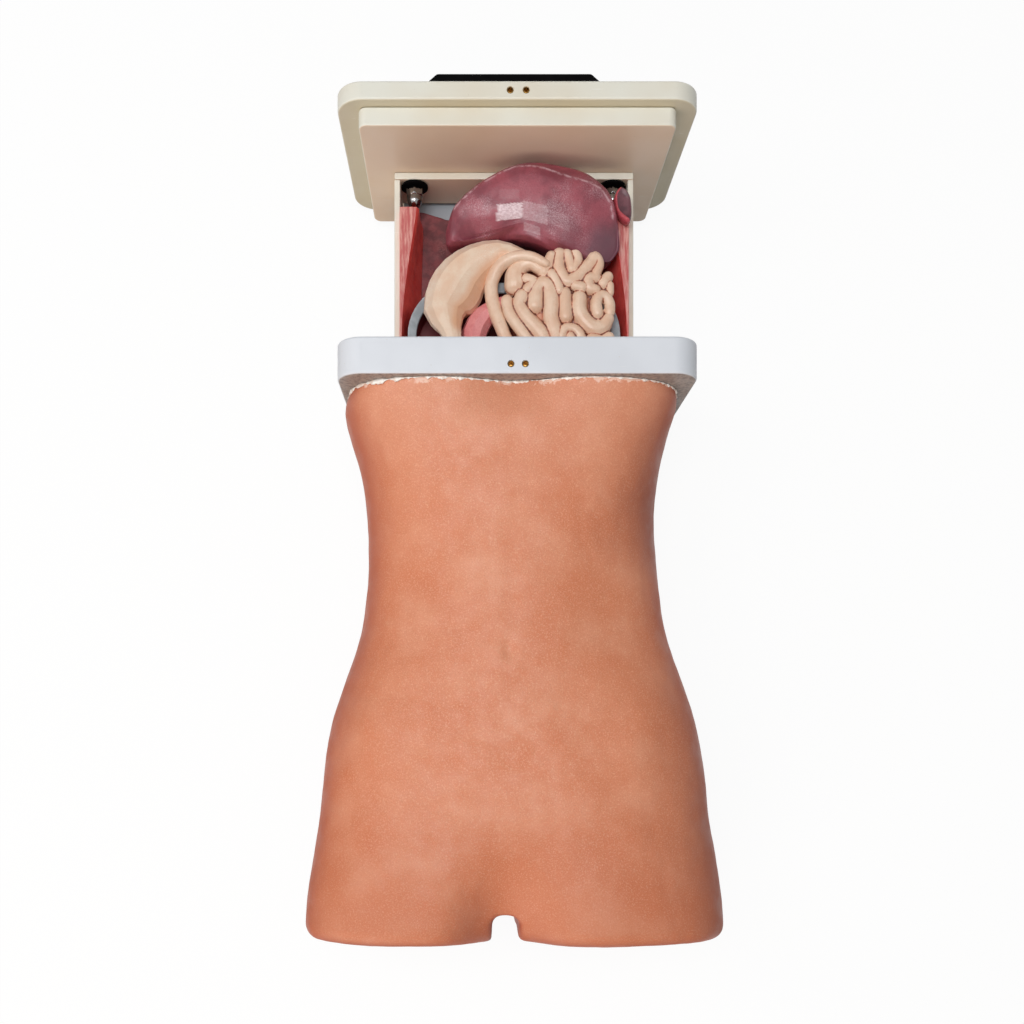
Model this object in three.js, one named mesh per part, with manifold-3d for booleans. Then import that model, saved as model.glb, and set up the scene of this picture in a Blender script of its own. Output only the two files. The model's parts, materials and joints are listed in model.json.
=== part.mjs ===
// A training manikin's torso: a hollow vinyl torso that lies on its back, with a rigid flange at the
// head end, and an organ drawer that slides out of the flange on two side rails.
//
// Millimetres. +Z is up, towards the front of the body; +Y runs towards the feet; +X is the
// manikin's right-hand side. Lengths along the body are first measured from the flange's outer
// face, and the whole model is then centred on the origin, with its back on the plane Z = 0.

import * as THREE from "three";
import { mergeVertices } from "three/addons/utils/BufferGeometryUtils.js";
import Module from "manifold-3d";

const wasm = await Module();
wasm.setup();

// Driving sizes: clearances
const SEAT_GAP = 0.3; // between two pieces that rest on each other
const THROUGH = 400; // longer than any hole is deep
const SLIDE_CLEARANCE = 0.6; // round the drawer's rails and its plug

// Driving sizes: the two plates that meet when the drawer is shut
const PLATE_WIDTH = 214;
const PLATE_DEPTH = 126;
const PLATE_CORNER = 16;
const PLATE_EDGE = 1.2; // rounding of the plates' outer edges
const END_PLATE_THICKNESS = 11;
const PLUG_THICKNESS = 11;
const PLUG_SIDE_INSET = 13;
const PLUG_FACE_INSET = 6.5;
const PLUG_CORNER = 5;
const PLUG_EDGE = 1;
const FLANGE_THICKNESS = 22;
const FLANGE_EDGE = 1.5;
const OPENING_CORNER = 1.2;
const DRAWER_OUT = 137.2; // how far the drawer is pulled out

// Driving sizes: the drawer's tray
const TRAY_SIDE_INSET = 31; // from the plates' sides to the tray's
const TRAY_LENGTH = 196;
const TRAY_RAIL_TOP = 70; // height of the side rails' front edge
const TRAY_BACK = 34; // height of the tray's back face
const TRAY_SIDE_THICKNESS = 3.6;
const TRAY_BACK_THICKNESS = 3;
const TRAY_HEAD_THICKNESS = 4.4;
const TRAY_HEAD_DEPTH = 30;
const TRAY_FOOT_THICKNESS = 5;
const ORGAN_TOP = 102; // no organ stands higher than this

// Driving sizes: fasteners
const BOLT_RADIUS = 3;
const BOLT_HEAD_RADIUS = 5;
const BOLT_HEAD_HEIGHT = 3.4;
const BOLT_INTO_NUT = 6;
const WASHER_RADIUS = 8.6;
const WASHER_THICKNESS = 2;
const WASHER_OVERHANG = 1;
const NUT_ACROSS_FLATS = 10;
const NUT_HEX_HEIGHT = 5;
const NUT_DOME_RADIUS = 4.75;
const NUT_HEIGHT = 12;
const SCREW_RADIUS = 2;
const SCREW_HEAD_RADIUS = 4;
const SCREW_HEAD_HEIGHT = 2.2;
const SCREW_LENGTH = 11;
const INSERT_RADIUS = 1.7;
const INSERT_BORE = 1;
const INSERT_LENGTH = 7;
const END_INSERT_SPACING = 9.3;
const FLANGE_INSERT_SPACING = 8.4;
const FLANGE_INSERT_SETBACK = 16.2; // from the flange's outer face

// Driving sizes: the handle
const HANDLE_HEIGHT = 38;
const HANDLE_GRIP_INSET = 14.5; // from the bolts' axes, as seen from the front
const HANDLE_LEG_INSET = 6.5;
const HANDLE_SHOULDER = 7;
const HANDLE_BAR = 11;
const HANDLE_DEPTH = 22;
const HANDLE_EDGE = 2.5;
const HANDLE_PAD_THICKNESS = 6;
const HANDLE_PAD_MARGIN = 8; // from the bolt's axis to the pad's end

// Driving sizes: the torso
const TORSO_LENGTH = 337;
const SKIN_THICKNESS = 4;
const SKIN_SIDE_INSET = 2.5; // how far the skin stays inside the flange's sides
const SKIN_FRONT_INSET = 3;
const SKIN_BACK_INSET = 2;
const BASE_ROUND = 6; // rounding round the flat end of the thighs
const THIGH_GAP = 17;
const THIGH_GAP_DEPTH = 18;
const THIGH_GAP_CORNER = 5;
const THIGH_GAP_SHIFT = 6.5; // towards the manikin's right-hand side
const COLLAR_HEIGHT = 12;
const COLLAR_THICKNESS = 3;

// Driving sizes: what guides and stops the drawer
const CHANNEL_WALL = 3;
const CHANNEL_LIP = 3;
const TAB_WIDTH = 8.5;
const TAB_HEIGHT = 14;
const TAB_THICKNESS = 3;
const BOARD_HALF_WIDTH = 70;
const BOARD_THICKNESS = 10;
const BOARD_START = 55;
const BULKHEAD_THICKNESS = 6;
const BUMPER_RADIUS = 7;
const BUMPER_THICKNESS = 4;
const BUMPER_SPACING = 110;

// Driving sizes: the model organs
const MUSCLE_BED_THICKNESS = 10;
const MUSCLE_WALL_TOP = 76;
const MUSCLE_BED_INSET = 12; // from the tray's start to its corners
const MUSCLE_WALL_INSET = 25; // from the tray's start
const MUSCLE_WALL_WIDTH = 13.6; // at its base, at the head end
const MUSCLE_FOOT_WIDTH = 10; // at its base, at the foot end
const MUSCLE_TOP_WIDTH = 10.6; // of its front edge, at the head end
const MUSCLE_RIM_WIDTH = 1.6; // of its front edge, beside the basin
const MUSCLE_NARROW_INSET = 95; // from the tray's start to where the front edge is that narrow
const MUSCLE_BEVEL = 3;
const BASIN_INSET = 71; // from the tray's start
const BASIN_SIDE_STRIP = 4.6; // muscle that shows beside the basin
const BASIN_FOOT_GAP = 4;
const BASIN_CORNER = 33;
const BASIN_WALL = 3;
const BASIN_HEIGHT = 24.5;
const ORGAN_GAP = 0.6; // between two organs
const LIVER_DROP = 2; // each drop is measured down from ORGAN_TOP
const STOMACH_DROP = 16;
const STOMACH_FLATNESS = 0.62; // its depth as a share of its width
const PANCREAS_DROP = 21;
const SPLEEN_DROP = 17;
const GUT_DROP = 13.5;
const GUT_CORE_DEPTH = 4.2; // from the tops of the loops to the mass that carries them
const DRAWN_HALF_WIDTH = 72.4; // inside size of the tray that the organs are drawn for
const DRAWN_LENGTH = 196;

// Materials
function material(colour, roughness, metalness = 0) {
  return new THREE.MeshStandardMaterial({ color: colour, roughness, metalness });
}

const creamPlastic = material(0xe4dfcd, 0.45);
const whitePlastic = material(0xdfe2e8, 0.5);
const greyPlastic = material(0xaab0b4, 0.55);
const skinVinyl = material(0xdc936c, 0.6);
const blackPlastic = material(0x16161a, 0.5);
const blackRubber = material(0x121214, 0.8);
const steel = material(0xc9ccd0, 0.22, 1);
const brass = material(0xb98d3e, 0.35, 1);
const boardPlastic = material(0xc9c6bb, 0.7);
const muscleRed = material(0xa8353a, 0.55);
const liverPurple = material(0x83404e, 0.45);
const stomachCream = material(0xe3c49c, 0.5);
const pancreasPink = material(0xd5797c, 0.5);
const gutPink = material(0xe6c3ab, 0.42);

// Solids: three.js geometry in, manifold-3d joins and cuts, three.js geometry out
function toSolid(geometry) {
  const bare = geometry.index ? geometry.toNonIndexed() : geometry.clone();
  bare.deleteAttribute("normal");
  bare.deleteAttribute("uv");
  const merged = mergeVertices(bare, 1e-4);
  return new wasm.Manifold(
    new wasm.Mesh({
      numProp: 3,
      vertProperties: new Float32Array(merged.attributes.position.array),
      triVerts: new Uint32Array(merged.index.array),
    }),
  );
}

function toGeometry(solid) {
  const mesh = solid.getMesh();
  const geometry = new THREE.BufferGeometry();
  geometry.setAttribute("position", new THREE.BufferAttribute(new Float32Array(mesh.vertProperties), 3));
  geometry.setIndex(new THREE.BufferAttribute(new Uint32Array(mesh.triVerts), 1));
  geometry.computeVertexNormals();
  return geometry;
}

function cut(body, ...tools) {
  const left = tools.reduce((solid, tool) => solid.subtract(toSolid(tool)), toSolid(body));
  return toGeometry(left);
}

function join(...bodies) {
  const whole = bodies.slice(1).reduce((solid, body) => solid.add(toSolid(body)), toSolid(bodies[0]));
  return toGeometry(whole);
}

function piece(name, geometry, look) {
  const mesh = new THREE.Mesh(geometry, look);
  mesh.name = name;
  return mesh;
}

// A box between two corners
function block(low, high) {
  const size = high.map((value, axis) => value - low[axis]);
  const geometry = new THREE.BoxGeometry(...size);
  return geometry.translate(...low.map((value, axis) => value + size[axis] / 2));
}

// A round rod along +Y
function rod(radius, from, to, x, z, sides = 16) {
  const geometry = new THREE.CylinderGeometry(radius, radius, to - from, sides);
  return geometry.translate(x, (from + to) / 2, z);
}

// A rectangle with round corners, in the X-Z plane
function roundedOutline(width, low, high, radius) {
  const half = width / 2;
  const shape = new THREE.Shape();
  shape.moveTo(-half + radius, low);
  shape.lineTo(half - radius, low);
  shape.absarc(half - radius, low + radius, radius, -Math.PI / 2, 0);
  shape.lineTo(half, high - radius);
  shape.absarc(half - radius, high - radius, radius, 0, Math.PI / 2);
  shape.lineTo(-half + radius, high);
  shape.absarc(-half + radius, high - radius, radius, Math.PI / 2, Math.PI);
  shape.lineTo(-half, low + radius);
  shape.absarc(-half + radius, low + radius, radius, Math.PI, 1.5 * Math.PI);
  return shape;
}

// An outline in the X-Z plane, extruded along Y, with its two rims rounded by edge
function slab(shape, from, to, edge = 0, curveSegments = 6) {
  const geometry = new THREE.ExtrudeGeometry(shape, {
    depth: to - from - 2 * edge,
    curveSegments,
    bevelEnabled: edge > 0,
    bevelThickness: edge,
    bevelSize: edge,
    bevelOffset: -edge,
    bevelSegments: 2,
  });
  return geometry.rotateX(Math.PI / 2).translate(0, to - edge, 0);
}

// A closed skin over rings of points, each ring seen anticlockwise from where the rings go
function loft(rings, flip = false) {
  const count = rings[0].length;
  const middle = (ring) => [0, 1, 2].map((axis) => ring.reduce((sum, point) => sum + point[axis], 0) / count);
  const points = [...rings.flat(), middle(rings[0]), middle(rings[rings.length - 1])];
  const first = rings.length * count;
  const last = first + 1;
  const faces = [];
  for (let side = 0; side < count; side += 1) {
    const next = (side + 1) % count;
    faces.push([first, next, side]);
    faces.push([last, (rings.length - 1) * count + side, (rings.length - 1) * count + next]);
    for (let ring = 0; ring < rings.length - 1; ring += 1) {
      const a = ring * count;
      const b = a + count;
      faces.push([a + side, a + next, b + next]);
      faces.push([a + side, b + next, b + side]);
    }
  }
  const corners = faces.flatMap((face) => (flip ? [face[0], face[2], face[1]] : face));
  const geometry = new THREE.BufferGeometry();
  geometry.setAttribute("position", new THREE.Float32BufferAttribute(points.flat(), 3));
  geometry.setIndex(corners);
  return geometry;
}

// Smooth value between stations [place, value], where the slope at each station is the mean slope
function between(stations, place) {
  const last = stations.length - 1;
  if (place <= stations[0][0]) return stations[0][1];
  if (place >= stations[last][0]) return stations[last][1];
  const index = stations.findIndex((station) => station[0] > place) - 1;
  const slope = (i) => {
    const low = stations[Math.max(0, i - 1)];
    const high = stations[Math.min(last, i + 1)];
    return (high[1] - low[1]) / (high[0] - low[0]);
  };
  const [start, startValue] = stations[index];
  const [end, endValue] = stations[index + 1];
  const span = end - start;
  const t = (place - start) / span;
  const rise = (2 * t ** 3 - 3 * t ** 2 + 1) * startValue + (3 * t ** 2 - 2 * t ** 3) * endValue;
  return rise + (t ** 3 - 2 * t ** 2 + t) * span * slope(index) + (t ** 3 - t ** 2) * span * slope(index + 1);
}

// The torso's outer form. Each station is [share of the torso's length, size].
// How far the sides stand out beyond the plates' sides
const torsoFlare = [
  [0, -SKIN_SIDE_INSET],
  [0.018, -3.2],
  [0.065, -6.5],
  [0.125, -11.9],
  [0.21, -15.3],
  [0.3, -14.6],
  [0.36, -12.8],
  [0.44, -8.5],
  [0.53, 1.7],
  [0.61, 9.8],
  [0.68, 13.9],
  [0.76, 16.2],
  [0.85, 20.5],
  [0.93, 24.3],
  [1, 25.2],
];
// How far the sides lie off the plates' middle, towards the manikin's right
const torsoShift = [
  [0, 1.5],
  [0.04, 3.4],
  [0.08, 3.4],
  [0.125, 2.8],
  [0.24, 1.9],
  [0.35, 0.4],
  [0.6, 0],
  [1, 0],
];
// How far the front stays behind the plates' front edges
const torsoFrontInset = [
  [0, SKIN_FRONT_INSET],
  [0.06, 6],
  [0.15, 10],
  [0.27, 12],
  [0.45, 10.5],
  [0.65, 7.5],
  [0.86, 6],
  [1, 6.5],
];
const torsoBack = [
  [0, SKIN_BACK_INSET],
  [0.09, -1.5],
  [1, -1.5],
];
// The height of the widest place, as a share of the plates' depth
const widestShare = [
  [0, 0.49],
  [0.27, 0.46],
  [0.65, 0.475],
  [1, 0.52],
];
const frontSquareness = [
  [0, 4.2],
  [0.06, 3.2],
  [0.15, 2.7],
  [0.3, 2.35],
  [0.65, 2.5],
  [1, 2.9],
];
const BACK_SQUARENESS = 3.4;
// The dips in the middle of the front: a shallow one at the glued edge, and the one between the
// thighs, which fades out towards the belly
const middleDip = [
  [0, 9],
  [0.03, 5],
  [0.08, 0],
  [0.7, 0],
  [0.83, 4],
  [0.925, 14],
  [1, 26],
];
const MIDDLE_DIP_WIDTH = 27;

// A point of the torso's surface, moved inwards by inset. The back is flat where it lies on the
// table. The section is a squared-off ellipse, with its points spread well over the front.
const FRONT_SPREAD = 1.4;

function torsoPoint(share, angle, inset) {
  const across = Math.cos(angle) * FRONT_SPREAD;
  const along = Math.sin(angle);
  const squareness = along >= 0 ? between(frontSquareness, share) : BACK_SQUARENESS;
  const middle = between(widestShare, share) * PLATE_DEPTH;
  const width = PLATE_WIDTH / 2 + between(torsoFlare, share) - inset;
  const skinZ = along >= 0 ? PLATE_DEPTH - between(torsoFrontInset, share) : between(torsoBack, share);
  const depth = Math.abs(skinZ - middle) - inset;
  const powers = Math.abs(across / width) ** squareness + Math.abs(along / depth) ** squareness;
  const reach = powers ** (-1 / squareness);
  const x = across * reach;
  const off = (x - THIGH_GAP_SHIFT * share) / MIDDLE_DIP_WIDTH;
  const dip = along > 0 ? between(middleDip, share) * Math.exp(-(off ** 2)) : 0;
  const z = Math.max(middle + along * reach - dip * Math.min(1, 2 * along), inset);
  return [x + between(torsoShift, share), z];
}

function torsoRing(y, below, inset, count) {
  return Array.from({ length: count }, (unused, index) => {
    const [x, z] = torsoPoint(below / TORSO_LENGTH, (-2 * Math.PI * index) / count, inset);
    return [x, y, z];
  });
}

// A loft of the torso's form between two distances below the flange
function torsoForm({ from, to, inset, steps, count, round = 0, over = 0 }) {
  const top = FLANGE_THICKNESS + SEAT_GAP;
  const rings = over > 0 ? [torsoRing(top + from - over, from, inset, count)] : [];
  for (let step = 0; step <= steps; step += 1) {
    const below = from + ((to - round - from) * step) / steps;
    rings.push(torsoRing(top + below, below, inset, count));
  }
  const ROUND_STEPS = 3;
  for (let step = 1; round > 0 && step <= ROUND_STEPS; step += 1) {
    const turn = (step / ROUND_STEPS) * (Math.PI / 2);
    const below = to - round + round * Math.sin(turn);
    rings.push(torsoRing(top + below, below, inset + round * (1 - Math.cos(turn)), count));
  }
  return loft(rings);
}

// The slot between the thighs, through the whole depth, widened by extra on every side
function thighSlot(extra) {
  const base = FLANGE_THICKNESS + SEAT_GAP + TORSO_LENGTH;
  const half = THIGH_GAP / 2 + extra;
  const head = base - THIGH_GAP_DEPTH - extra;
  const radius = THIGH_GAP_CORNER + extra;
  const past = base + THROUGH;
  const shape = new THREE.Shape();
  shape.moveTo(-half, past);
  shape.lineTo(-half, head + radius);
  shape.absarc(-half + radius, head + radius, radius, Math.PI, 1.5 * Math.PI);
  shape.lineTo(half - radius, head);
  shape.absarc(half - radius, head + radius, radius, 1.5 * Math.PI, 2 * Math.PI);
  shape.lineTo(half, past);
  const settings = { depth: 2 * THROUGH, bevelEnabled: false, curveSegments: 4 };
  return new THREE.ExtrudeGeometry(shape, settings).translate(THIGH_GAP_SHIFT, 0, -THROUGH);
}

// The space inside the skin, or the same form drawn in further
function hollow(inset) {
  return torsoForm({ from: 0, to: TORSO_LENGTH - SKIN_THICKNESS, inset, steps: 10, count: 32, over: 5 });
}

function torsoSkin() {
  const outer = torsoForm({ from: 0, to: TORSO_LENGTH, inset: 0, steps: 18, count: 44, round: BASE_ROUND });
  return cut(cut(outer, thighSlot(0)), cut(hollow(SKIN_THICKNESS), thighSlot(SKIN_THICKNESS)));
}

// The part of a body that fits inside the skin
function insideSkin(body) {
  return toGeometry(toSolid(body).intersect(toSolid(hollow(SKIN_THICKNESS + SEAT_GAP))));
}

// The ring inside the torso's head end that the skin is glued round
function skinCollar() {
  const low = [-PLATE_WIDTH, skinStart, -PLATE_DEPTH];
  const ring = insideSkin(block(low, [PLATE_WIDTH, skinStart + COLLAR_HEIGHT, 2 * PLATE_DEPTH]));
  return cut(ring, hollow(SKIN_THICKNESS + SEAT_GAP + COLLAR_THICKNESS));
}

// Where the drawer's parts lie when it is shut, measured from the flange's outer face
const plugWidth = PLATE_WIDTH - 2 * PLUG_SIDE_INSET;
const plugLow = PLUG_FACE_INSET;
const plugHigh = PLATE_DEPTH - PLUG_FACE_INSET;
const trayStart = PLUG_THICKNESS + SEAT_GAP;
const trayEnd = trayStart + TRAY_LENGTH;
const trayHalf = PLATE_WIDTH / 2 - TRAY_SIDE_INSET;
const trayInside = trayHalf - TRAY_SIDE_THICKNESS;
const headPlateEnd = trayStart + TRAY_HEAD_THICKNESS;
const footPlateStart = trayEnd - TRAY_FOOT_THICKNESS;
const trayFloor = TRAY_BACK + TRAY_BACK_THICKNESS;
const bedTop = trayFloor + SEAT_GAP + MUSCLE_BED_THICKNESS;
const basinFloor = bedTop + SEAT_GAP + BASIN_WALL;
const boltX = trayInside - WASHER_RADIUS - SEAT_GAP;
const boltZ = TRAY_RAIL_TOP + WASHER_OVERHANG - WASHER_RADIUS;
const washerStart = headPlateEnd + SEAT_GAP;
const nutStart = washerStart + WASHER_THICKNESS + SEAT_GAP;
const endPlateOuter = -SEAT_GAP - END_PLATE_THICKNESS;
const handleBase = endPlateOuter - SEAT_GAP;

// Where the torso's inner parts lie
const skinStart = FLANGE_THICKNESS + SEAT_GAP;
const channelInside = trayHalf + SLIDE_CLEARANCE;
const channelOutside = channelInside + CHANNEL_WALL;
const channelTop = TRAY_RAIL_TOP + SLIDE_CLEARANCE + CHANNEL_WALL;
const channelBottom = TRAY_BACK - SLIDE_CLEARANCE - CHANNEL_WALL;
const screwSeat = skinStart + TAB_THICKNESS + SEAT_GAP;
const bumperStart = trayEnd + SLIDE_CLEARANCE;
const bulkheadStart = bumperStart + BUMPER_THICKNESS + SEAT_GAP;
const boardTop = SKIN_THICKNESS + SEAT_GAP + BOARD_THICKNESS;

const SIDES = [
  ["right", 1],
  ["left", -1],
];

// Round holes for the two long bolts
function boltHoles() {
  return SIDES.map(([, side]) => rod(BOLT_RADIUS + SEAT_GAP, -THROUGH, THROUGH, side * boltX, boltZ));
}

// The hole for an insert, from the plates' front edge
function insertHole(x, y) {
  const radius = INSERT_RADIUS + SEAT_GAP / 2;
  const hole = new THREE.CylinderGeometry(radius, radius, 2 * (INSERT_LENGTH + SEAT_GAP), 16);
  return hole.rotateX(Math.PI / 2).translate(x, y, PLATE_DEPTH);
}

function brassInsert(x, y) {
  const outer = new THREE.CylinderGeometry(INSERT_RADIUS, INSERT_RADIUS, INSERT_LENGTH, 16);
  const bore = new THREE.CylinderGeometry(INSERT_BORE, INSERT_BORE, 3 * INSERT_LENGTH, 12);
  return cut(outer, bore)
    .rotateX(Math.PI / 2)
    .translate(x, y, PLATE_DEPTH - INSERT_LENGTH / 2);
}

function endPlate() {
  const outline = roundedOutline(PLATE_WIDTH, 0, PLATE_DEPTH, PLATE_CORNER);
  const plate = slab(outline, endPlateOuter, -SEAT_GAP, PLATE_EDGE);
  const middle = (endPlateOuter - SEAT_GAP) / 2;
  const inserts = SIDES.map(([, side]) => insertHole((side * END_INSERT_SPACING) / 2, middle));
  return cut(plate, ...inserts, ...boltHoles());
}

function plugPlate() {
  const outline = roundedOutline(plugWidth, plugLow, plugHigh, PLUG_CORNER);
  return cut(slab(outline, 0, PLUG_THICKNESS, PLUG_EDGE, 4), ...boltHoles());
}

function trayHeadPlate() {
  const low = [-trayHalf, trayStart, TRAY_RAIL_TOP - TRAY_HEAD_DEPTH];
  return cut(block(low, [trayHalf, headPlateEnd, TRAY_RAIL_TOP]), ...boltHoles());
}

function traySide(side) {
  const edges = [side * trayInside, side * trayHalf].sort((a, b) => a - b);
  return block([edges[0], headPlateEnd + SEAT_GAP, TRAY_BACK], [edges[1], trayEnd, TRAY_RAIL_TOP]);
}

function trayBackPanel() {
  const half = trayInside - SEAT_GAP;
  return block([-half, trayStart, TRAY_BACK], [half, footPlateStart - SEAT_GAP, trayFloor]);
}

function trayFootPlate() {
  const half = trayInside - SEAT_GAP;
  return block([-half, footPlateStart, TRAY_BACK], [half, trayEnd, TRAY_RAIL_TOP]);
}

// The bridge handle: a bar on two legs, whose foot pads take the long bolts
function pullHandle() {
  const top = handleBase - HANDLE_HEIGHT;
  const pad = handleBase - HANDLE_PAD_THICKNESS;
  const grip = boltX - HANDLE_GRIP_INSET;
  const leg = boltX - HANDLE_LEG_INSET;
  const end = boltX + HANDLE_PAD_MARGIN;
  const outer = [[end, handleBase], [end, pad], [leg, pad], [leg, top + HANDLE_SHOULDER], [grip, top]];
  const inner = [
    [leg - HANDLE_BAR, handleBase],
    [leg - HANDLE_BAR, top + HANDLE_SHOULDER + HANDLE_BAR / 2],
    [grip - HANDLE_BAR / 2, top + HANDLE_BAR],
  ];
  const mirror = (points) => points.map(([x, y]) => [-x, y]).reverse();
  const path = [...outer, ...mirror(outer), ...mirror(inner).reverse(), ...[...inner].reverse()];
  const shape = new THREE.Shape(path.map(([x, y]) => new THREE.Vector2(x, y)));
  const bar = new THREE.ExtrudeGeometry(shape, {
    depth: HANDLE_DEPTH - 2 * HANDLE_EDGE,
    bevelThickness: HANDLE_EDGE,
    bevelSize: HANDLE_EDGE,
    bevelOffset: -HANDLE_EDGE,
    bevelSegments: 3,
  });
  bar.translate(0, 0, boltZ - HANDLE_DEPTH / 2 + HANDLE_EDGE);
  return cut(bar, ...boltHoles());
}

// A long bolt, from its head on the handle's pad to its end inside the cap nut
function handleBolt(side) {
  const seat = handleBase - HANDLE_PAD_THICKNESS - SEAT_GAP;
  const shank = rod(BOLT_RADIUS, seat - 1, nutStart + BOLT_INTO_NUT, side * boltX, boltZ);
  const profile = [
    [0, 0],
    [BOLT_HEAD_RADIUS, 0],
    [BOLT_HEAD_RADIUS, BOLT_HEAD_HEIGHT * 0.4],
    [BOLT_HEAD_RADIUS * 0.85, BOLT_HEAD_HEIGHT * 0.75],
    [BOLT_HEAD_RADIUS * 0.5, BOLT_HEAD_HEIGHT],
    [0, BOLT_HEAD_HEIGHT],
  ];
  const head = new THREE.LatheGeometry(profile.map(([r, h]) => new THREE.Vector2(r, h)), 16);
  head.rotateX(Math.PI).translate(side * boltX, seat, boltZ);
  return join(shank, head);
}

function rubberWasher(side) {
  const ring = rod(WASHER_RADIUS, washerStart, washerStart + WASHER_THICKNESS, side * boltX, boltZ, 24);
  return cut(ring, ...boltHoles());
}

// A hexagon with a domed, closed end
function capNut(side) {
  const hexRadius = NUT_ACROSS_FLATS / Math.sqrt(3);
  const hexagon = rod(hexRadius, nutStart, nutStart + NUT_HEX_HEIGHT, side * boltX, boltZ, 6);
  const neck = NUT_HEIGHT - NUT_DOME_RADIUS;
  const profile = [new THREE.Vector2(0, 0), new THREE.Vector2(NUT_DOME_RADIUS, 0)];
  const ARC_STEPS = 5;
  for (let step = 0; step <= ARC_STEPS; step += 1) {
    const turn = (step / ARC_STEPS) * (Math.PI / 2);
    const radius = step === ARC_STEPS ? 0 : NUT_DOME_RADIUS * Math.cos(turn);
    profile.push(new THREE.Vector2(radius, neck + NUT_DOME_RADIUS * Math.sin(turn)));
  }
  const dome = new THREE.LatheGeometry(profile, 16).translate(side * boltX, nutStart, boltZ);
  const bore = rod(BOLT_RADIUS + SEAT_GAP, nutStart - 5, nutStart + BOLT_INTO_NUT + 1, side * boltX, boltZ);
  return cut(join(hexagon, dome), bore);
}

// The flange: recessed for the plug, then open for the tray and the organs
function flangeRing() {
  const clear = SLIDE_CLEARANCE;
  const outline = roundedOutline(PLATE_WIDTH, 0, PLATE_DEPTH, PLATE_CORNER);
  const corner = PLUG_CORNER + clear;
  const recess = roundedOutline(plugWidth + 2 * clear, plugLow - clear, plugHigh + clear, corner);
  const way = roundedOutline(2 * channelInside, TRAY_BACK - clear, ORGAN_TOP + clear, OPENING_CORNER);
  const inserts = SIDES.map(([, side]) =>
    insertHole((side * FLANGE_INSERT_SPACING) / 2, FLANGE_INSERT_SETBACK),
  );
  const screwEnd = screwSeat - SCREW_LENGTH - SEAT_GAP;
  const screws = screwPlaces().map(({ x, z }) =>
    rod(SCREW_RADIUS + SEAT_GAP, screwEnd, FLANGE_THICKNESS + 5, x, z, 10),
  );
  return cut(
    slab(outline, 0, FLANGE_THICKNESS, FLANGE_EDGE),
    slab(recess, -5, PLUG_THICKNESS + SEAT_GAP, 0, 4),
    slab(way, -5, FLANGE_THICKNESS + 5, 0, 2),
    ...inserts,
    ...screws,
  );
}

// The four screws through the rails' tabs
function screwPlaces() {
  const x = channelOutside + TAB_WIDTH / 2;
  const high = channelTop - TAB_HEIGHT / 2;
  const low = channelBottom + TAB_HEIGHT / 2;
  return SIDES.flatMap(([, side]) => [high, low].map((z) => ({ x: side * x, z })));
}

// A screw with a low round head, into the flange from inside the torso
function flangeScrew({ x, z }) {
  const shank = rod(SCREW_RADIUS, screwSeat - SCREW_LENGTH, screwSeat + 1, x, z, 10);
  return join(shank, rod(SCREW_HEAD_RADIUS, screwSeat, screwSeat + SCREW_HEAD_HEIGHT, x, z));
}

// A C-shaped rail that holds a side plate's two long edges, with two tabs on the flange
function guideRail(side) {
  const lipX = trayHalf - CHANNEL_LIP;
  const end = bulkheadStart - SEAT_GAP;
  const span = (xs, ys, zs) => {
    const [left, right] = [side * xs[0], side * xs[1]].sort((a, b) => a - b);
    return block([left, ys[0], zs[0]], [right, ys[1], zs[1]]);
  };
  const rail = [
    span([channelInside, channelOutside], [skinStart, end], [channelBottom, channelTop]),
    span([lipX, channelOutside], [skinStart, end], [channelTop - CHANNEL_WALL, channelTop]),
    span([lipX, channelOutside], [skinStart, end], [channelBottom, channelBottom + CHANNEL_WALL]),
  ];
  const tabX = [channelInside, channelOutside + TAB_WIDTH];
  const tabY = [skinStart, skinStart + TAB_THICKNESS];
  const tabLows = [channelBottom, channelTop - TAB_HEIGHT];
  const tabs = tabLows.map((low) => span(tabX, tabY, [low, low + TAB_HEIGHT]));
  const holes = screwPlaces().map(({ x, z }) => rod(SCREW_RADIUS + SEAT_GAP, 0, skinStart + 10, x, z, 10));
  return cut(join(...rail, ...tabs), ...holes);
}

function backBoard() {
  const half = BOARD_HALF_WIDTH;
  return insideSkin(block([-half, BOARD_START, 0], [half, bulkheadStart + BULKHEAD_THICKNESS, boardTop]));
}

function bulkhead() {
  const low = [-PLATE_WIDTH, bulkheadStart, boardTop + SEAT_GAP];
  return insideSkin(block(low, [PLATE_WIDTH, bulkheadStart + BULKHEAD_THICKNESS, PLATE_DEPTH]));
}

function bumper(side) {
  const x = (side * BUMPER_SPACING) / 2;
  const z = (TRAY_BACK + TRAY_RAIL_TOP) / 2;
  return rod(BUMPER_RADIUS, bumperStart, bumperStart + BUMPER_THICKNESS, x, z, 18);
}

// A place drawn across and along the tray, moved to where it is in the tray as built
function inTray([x, y]) {
  return [(x * trayInside) / DRAWN_HALF_WIDTH, trayStart + (y * TRAY_LENGTH) / DRAWN_LENGTH];
}

// An organ that bulges over a closed outline. The rings go from its flat base out to the outline
// and then in again to its top.
const MOUND_TURNS = [-50, -22, 8, 30, 48, 66];

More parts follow.
